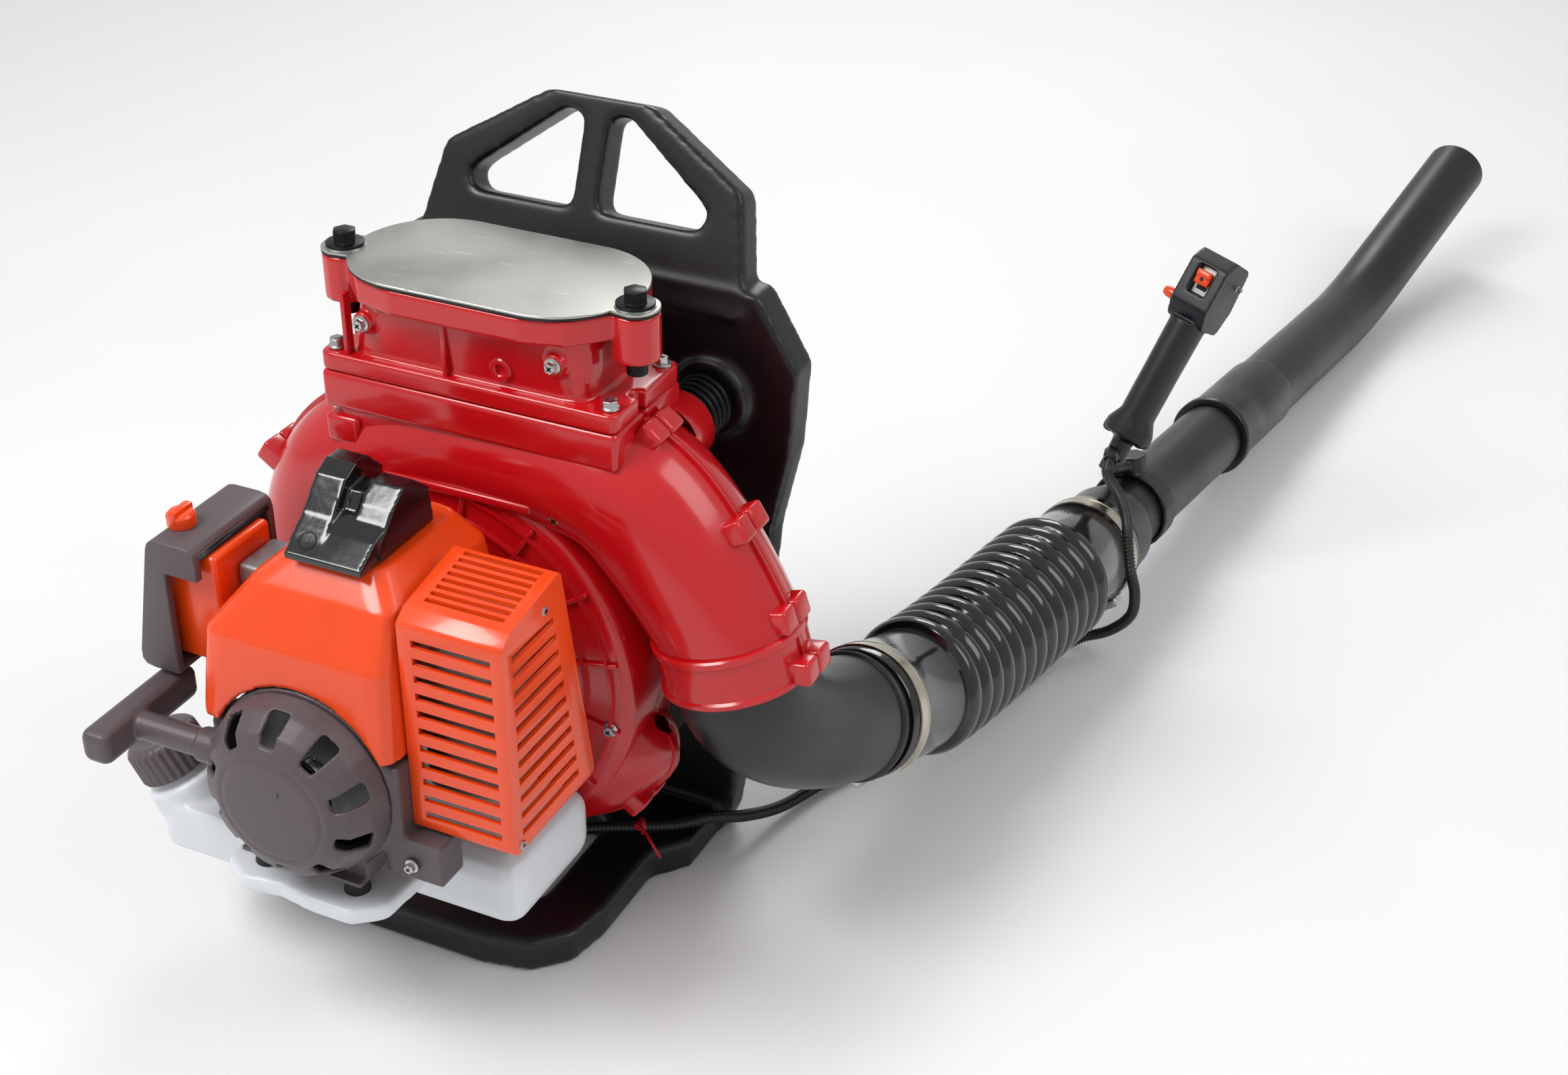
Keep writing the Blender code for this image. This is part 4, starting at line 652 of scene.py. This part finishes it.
for node, look, edge in (("crankcase", "castAlloy", 1.2), ("cylinder", "castAlloy", 0.5),
                         ("muffler", "mufflerSteel", 1.5),
                         ("carburettor", "castAlloy", 1.0), ("air_filter_knob", "orangeAbs", 0.6),
                         ("choke_lever", "blackPolypropylene", 0.6), ("primer_bulb", "blackRubber", 0.6),
                         ("tank_mount_left", "blackRubber", 0.8), ("tank_mount_right", "blackRubber", 0.8),
                         ("starter_pulley", "blackPolypropylene", 0.5), ("impeller", "blackPolypropylene",
                                                                         0.5),
                         ("crankshaft", "zincSteel", 0.5), ("flywheel", "castAlloy", 0.8),
                         ("conduit_gland", "blackRubber", 0.5)):
    eased(node, look, edge)
rope = [Vector((-114 + k * 0.5, -297, 213)) for k in range(96)]
twist = [2.0 + 0.25 * math.sin(k * 1.3) for k in range(96)]
ropePiece = fromBmesh("starterRopeBraid", sweep(rope, twist, 12), "nylonWebbing", 60)
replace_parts(ropePiece, "starter_rope")
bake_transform(ropePiece)    # placement baked into the mesh; the rope joins no body
cap = dict(centre=(-166, -236, 122), axis=(-0.4198, -0.12, 0.8996), flutes=28)
capWay = Vector(cap["axis"]).normalized()
capSide = capWay.orthogonal().normalized()
capLoops = []
for height, radius, deep in ((12.3, 23, 0), (13, 24.2, 0.2), (15, 25, 1.2), (33, 24.6, 1.2), (36, 23, 0.6),
                             (38, 20, 0), (38, 14, 0), (36.4, 12, 0), (36.4, 0.5, 0)):
    loop = []
    for k in range(cap["flutes"] * 6):
        a = 2 * math.pi * k / (cap["flutes"] * 6)
        r = radius - deep * (0.5 + 0.5 * math.cos(a * cap["flutes"]))
        loop.append(Vector(cap["centre"]) + capWay * height + capSide * math.cos(a) * r
                    + capWay.cross(capSide) * math.sin(a) * r)
    capLoops.append(loop)
standFor(fromBmesh("fuelCapFluted", skin(capLoops), "greyNylon", 50), "fuel_cap")
for k, (x, y, z, way) in enumerate([(40, -284.5, 158, (0, -1, 0)), (-88, -285, 200, (0, -1, 0)),
                                    (100, -263, 180, (1, 0, 0)), (100, -225, 320, (1, 0, 0))]):
    screwHead(f"engineScrew{k}", (x, y, z), way, "fan_housing" if k < 2 else "muffler_guard", 3.6)
print("engine done")

# blower tube
tube = dict(start=(198, 30, 118), startWay=(0.15, 0.94, -0.30), end=(248, 363, 77.5),
            endWay=(0.15, 0.985, -0.09),
            heel=(322, 1012, 32), tip=(371, 1270,
                                       104), elbowR=43, cuffR=46, hoseR=51.5, deep=6, pitch=17, turns=13,
            farCuffR=42.3, handleR=39, neckR=30.4, couplingR=33.4, nozzleR=31, coupling=(270, 395))
start, end = Vector(tube["start"]), Vector(tube["end"])
startWay, endWay = Vector(tube["startWay"]).normalized(), Vector(tube["endWay"]).normalized()
heel, tip = Vector(tube["heel"]), Vector(tube["tip"])
tubeWay, tipWay = (heel - end).normalized(), (tip - heel).normalized()


def moulded(name, path, profile, look, sides=72):
    # a round piece along a path, from (distance, radius) pairs
    points = [along(path, s) for s, r in profile]
    directed = []
    for s, r in profile:
        ahead, behind = along(path, s + 1), along(path, s - 1)
        directed.append((ahead - behind).normalized())
    side = directed[0].orthogonal().normalized()
    loops = []
    for point, way, (s, r) in zip(points, directed, profile):
        side = (side - way * side.dot(way)).normalized()
        loops.append(ring(point, side, way.cross(side), r, sides))
    return fromBmesh(name, skin(loops, caps=(False, False)), look, 50)


elbowPath = ([outlet - outletWay * (tube["cuffR"] - 22)]
             + bezier(outlet + outletWay * 2, outletWay, start - startWay * 16, startWay, 24, 0.29)
             + [start + startWay * 30])
elbowLength = pathLength(elbowPath)
er = tube["elbowR"]
elbowProfile = [(0, er - 3)] + [(elbowLength * k / 40, er - (0.2 if k in (0, 40) else 0)) for k in range(41)]
bead = elbowLength - 52
elbowProfile = sorted([p for p in elbowProfile if abs(p[0] - bead) > 5] +
                      [(bead - 3, er), (bead - 2.2, er + 1.8), (bead, er + 2.6), (bead + 2.2, er + 1.8),
                       (bead + 3, er)])
standFor(moulded("elbowSmooth", elbowPath, elbowProfile, "elbowNylon"), "elbow")

hosePath = ([start] + bezier(start + startWay * 36, startWay, end - endWay * 46, endWay, 25, 0.3) + [end])
hoseLength = pathLength(hosePath)
ribStart = (hoseLength - tube["pitch"] * tube["turns"]) / 2 + 4
cuff, far = tube["cuffR"], tube["farCuffR"]
hoseProfile = [(-14, cuff - 2.6), (-14, cuff - 0.8), (-13, cuff), (12, cuff), (14, cuff - 0.8),
               (ribStart - 8, cuff - 0.8),
               (ribStart - 3, cuff - 0.6)]
for k in range(tube["turns"]):
    for j in range(10):               # rounded crests, tight valleys
        t = j / 10
        height = abs(math.sin(math.pi * t)) ** 0.55
        hoseProfile.append((ribStart + tube["pitch"] * (k + t), tube["hoseR"] - tube["deep"] * (1 - height)))
ribEnd = ribStart + tube["pitch"] * tube["turns"]
hoseProfile += [(ribEnd, tube["hoseR"] - tube["deep"]), (ribEnd + 3, far + 1.6), (ribEnd + 8, far),
                (hoseLength + 13, far), (hoseLength + 14, far - 0.8), (hoseLength + 14, far - 2.6)]
hose = moulded("hoseCorrugated", hosePath, hoseProfile, "hoseElastomer")
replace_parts(hose, "corrugated_hose")
tuple(along(hosePath, ribStart) * MM)
tuple(along(hosePath, ribEnd) * MM)
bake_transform(hose)


def bandClamp(name, node, centre, way, radius, towards):
    # worm-drive band: rolled edges, a slotted stretch and the screw's housing
    out = (towards - way * towards.dot(way)).normalized()
    turn = Matrix((way.cross(out), way, out)).transposed().to_4x4()
    turn.translation = centre
    profile = [(radius + 0.2, -5.6), (radius + 1.5, -5.6), (radius + 1.5, -4.6), (radius + 1.1, -4.2),
               (radius + 1.1, 4.2),
               (radius + 1.5, 4.6), (radius + 1.5, 5.6), (radius + 0.2, 5.6)]
    standFor(fromBmesh(name, spin(profile, centre, way, 88, (False, False)), "bandSteel", 30), node)
    slots = bmesh.new()
    for k in range(20):
        a = math.radians(20 + 3.1 * k)
        local = turn @ Matrix.Rotation(a, 4, "Y")
        slant = local @ Matrix.Translation((0, 0, radius + 1.2)) @ Matrix.Rotation(0.25, 4, "Z")
        softBox((-0.55, -3.2, -0.2), (0.55, 3.2, 0.12), 0.1, 1, slant, slots)
    goWith(fromBmesh(name + "Slots", slots, "blackOxideSteel"), node)
    housing = bmesh.new()
    softBox((-9, -6.6, radius + 0.6), (7, 6.6, radius + 8.6), 2.4, 4, turn, housing)
    softBox((-11, -5.6, radius + 0.6), (9.5, 5.6, radius + 2.4), 0.8, 2, turn, housing)
    axis = turn.to_3x3() @ Vector((1, 0, 0))
    foot = turn @ Vector((7, 0, radius + 4.8))
    spin([(4.4, 0), (4.4, 4.6), (3.8, 5.2)], foot, axis, 6, mesh=housing)
    spin([(5.2, 0), (5.2, 1.2)], foot, axis, 32, mesh=housing)
    goWith(fromBmesh(name + "Worm", housing, "zincSteel", 30), node)


bandClamp("nearBand", "hose_clamp_near", start, startWay, tube["cuffR"], Vector((0, 0, -1)))
bandClamp("farBand", "hose_clamp_far", end, endWay, tube["farCuffR"], Vector((0.6, 0, -0.8)))

mid, neck, joint = tube["handleR"], tube["neckR"], tube["couplingR"]
handlePath = [end - endWay * 42, end + endWay * 16, end + tubeWay * 48, end + tubeWay * 320]
handleProfile = [(0, mid - 2), (0, mid), (42, mid), (54, mid), (57, mid + 1.6), (61, mid + 1.6), (64, mid),
                 (88, mid - 1),
                 (95, mid - 3), (104, neck + 2), (110, neck), (200, neck), (362, neck)]
standFor(moulded("handleTubeSmooth", handlePath, handleProfile, "blackPolypropylene"), "handle_tube")
near, farEnd = tube["coupling"]
couplingPath = [end + tubeWay * near, end + tubeWay * farEnd]
couplingProfile = [(0, neck + 0.6), (0, joint + 1.8), (1, joint + 2.6), (9, joint + 2.6), (11, joint + 1.6),
                   (13, joint),
                   (60, joint), (119, joint), (123, joint - 0.6), (125, joint - 1.4), (125,
                                                                                       tube["nozzleR"] + 0.4)]
standFor(moulded("couplingTubeSmooth", couplingPath, couplingProfile, "blackPolypropylene"), "straight_tube")
nozzleR = tube["nozzleR"]
nozzlePath = ([end + tubeWay * 345] + bezier(heel - tubeWay * 60, tubeWay, heel + tipWay * 60, tipWay, 24,
                                             0.36) + [tip])
nozzleLength = pathLength(nozzlePath)
steps = 60
nozzleProfile = [(nozzleLength * k / steps, nozzleR) for k in range(steps + 1)]
nozzleProfile += [(nozzleLength - 0.2, nozzleR - 2.4), (nozzleLength - 40, nozzleR - 2.4),
                  (nozzleLength - 200, nozzleR - 2.4)]
standFor(moulded("nozzleSmooth", nozzlePath, nozzleProfile, "blackPolypropylene"), "nozzle")
print("tube done")

# control handle, built in its own frame: Z up the grip, Y out of the switch face
handle = dict(base=(247, 429, 130), right=(0.939976, -0.287359, -0.184038),
              face=(-0.171027, -0.863413, 0.474624),
              up=(0.295288, 0.41466, 0.860733), length=159.2)
turn = Matrix([handle["right"], handle["face"], handle["up"]]).transposed().to_4x4()
turn.translation = Vector(handle["base"])
top = handle["length"]
melted("handle_grip", "gripNylon", 1.0, 7)
melted("handle_clamp", "gripNylon", 1.2, 4)
ribs = bmesh.new()
for k in range(11):
    z = 44 + 7.2 * k
    softBox((-7, -19.6, z), (7, -15, z + 3.4), 1.4, 3, turn, ribs)
goWith(fromBmesh("fingerRibs", ribs, "gripNylon"), "handle_grip")
pommel = bmesh.new()
for side in (-1, 1):
    softBox((side * 15 - 5, -9, 17), (side * 15 + 5, 9, 28), 4, 4, turn, pommel)
goWith(fromBmesh("pommelHooks", pommel, "gripNylon"), "handle_grip")
plate = softBox((-7.2, 9.6, top - 11.4), (7.2, 11.2, top + 11.4), 0.7, 2, turn)
goWith(fromBmesh("switchPlate", plate, "whiteNylon"), "handle_grip")
slotMesh = softBox((-4.6, 10.6, top - 7.6), (4.6, 11.6, top - 4.2), 0.3, 1, turn)
goWith(fromBmesh("switchSlot", slotMesh, "blackRubber"), "handle_grip")
rocker = softBox((-6.4, 12.9, top - 4), (6.4, 20, top + 8), 2.2, 4, turn)
softBox((-4, 11.6, top + 0.6), (4, 13.6, top + 3.4), 0.4, 2, turn, rocker)      # the stem it rocks on
softBox((-6.4, 18, top + 2), (6.4, 22, top + 8), 1.8, 4, turn, rocker)
standFor(fromBmesh("stopRocker", rocker, "orangeAbs"), "stop_switch")
rockerDot = spin([(0.3, 0), (1.5, 0), (1.8, -0.5)], turn @ Vector((0, 20.3, top + 0.6)), handle["face"], 16)
goWith(fromBmesh("rockerScrew", rockerDot, "blackOxideSteel"), "stop_switch")
lever = bmesh.new()
leverLoops = []
for x, wide, tall in ((-12, 2.6, 4.2), (-18, 3.0, 4.4), (-25, 3.2, 4.8), (-30, 3.0, 4.4), (-32.6, 2.2, 3.2),
                      (-33.4, 1.0, 1.6)):
    loop = []
    for k in range(20):
        a = 2 * math.pi * k / 20
        loop.append(turn @ Vector((x, -2 + wide * math.cos(a), top - 21 + tall * math.sin(a))))
    leverLoops.append(loop)
skin(leverLoops, mesh=lever)
standFor(fromBmesh("thumbLever", lever, "orangeAbs", 60), "throttle_lever")
melted("throttle_trigger", "redPolypropylene", 0.7, 3)
stubAt = Vector((248, 416, 136.2))
stubWay = Vector((0.15, -0.93, -0.36)).normalized()
stub = spin([(5.4, -9), (6.2, -8), (6.2, 0), (5.4, 1)], stubAt, stubWay, 6)
spin([(5.0, 0), (5.6, 0.6), (5.6, 3), (5.0, 3.6)], stubAt, stubWay, 32, mesh=stub)
goWith(fromBmesh("conduitStub", stub, "blackPolypropylene"), "handle_grip")
screwHead("headScrew", turn @ Vector((17.1, -12, top + 6)), handle["right"], "handle_grip", 2.0)
print("handle done")

# room: pale sweep of floor, one big soft light over the left shoulder and a fill
room = dict(floor="E4E4E4", worldStrength=0.62)
floorMesh = bmesh.new()
bmesh.ops.create_grid(floorMesh, x_segments=2, y_segments=2, size=6000)
looks["paperFloor"] = dict(colour=room["floor"], rough=(0.55, 0.7), patchMm=400, grainMm=3,
                           grainDeepMm=0.05, dim=0.97)
materials["paperFloor"] = surface("paperFloor", looks["paperFloor"])
floor = fromBmesh("floor", floorMesh, "paperFloor")
floor.location.z = -0.0006
world = bpy.data.worlds.new("studio")
scene.world = world
world.use_nodes = True
world.node_tree.nodes["Background"].inputs["Color"].default_value = toLinear("F6F6F6")
world.node_tree.nodes["Background"].inputs["Strength"].default_value = room["worldStrength"]
lamps = [dict(name="key", place=(-0.9, -1.3, 2.3), aim=(0, 0, 0.25), size=1.1, watts=46),
         dict(name="fill", place=(1.9, 0.2, 2.0), aim=(0.15, 0.1, 0.1), size=1.4, watts=18),
         dict(name="rim", place=(-0.6, 2.2, 1.8), aim=(0.1, 0.3, 0.2), size=1.0, watts=20)]
for lamp in lamps:
    light = bpy.data.lights.new(lamp["name"], "AREA")
    light.shape, light.size, light.energy = "SQUARE", lamp["size"], lamp["watts"]
    holder = bpy.data.objects.new(lamp["name"], light)
    scene.collection.objects.link(holder)
    holder.location = lamp["place"]
    holder.rotation_euler = (Vector(lamp["aim"]) - Vector(lamp["place"])).to_track_quat("-Z", "Y").to_euler()
scene.view_settings.view_transform = "Standard"
print("room done")
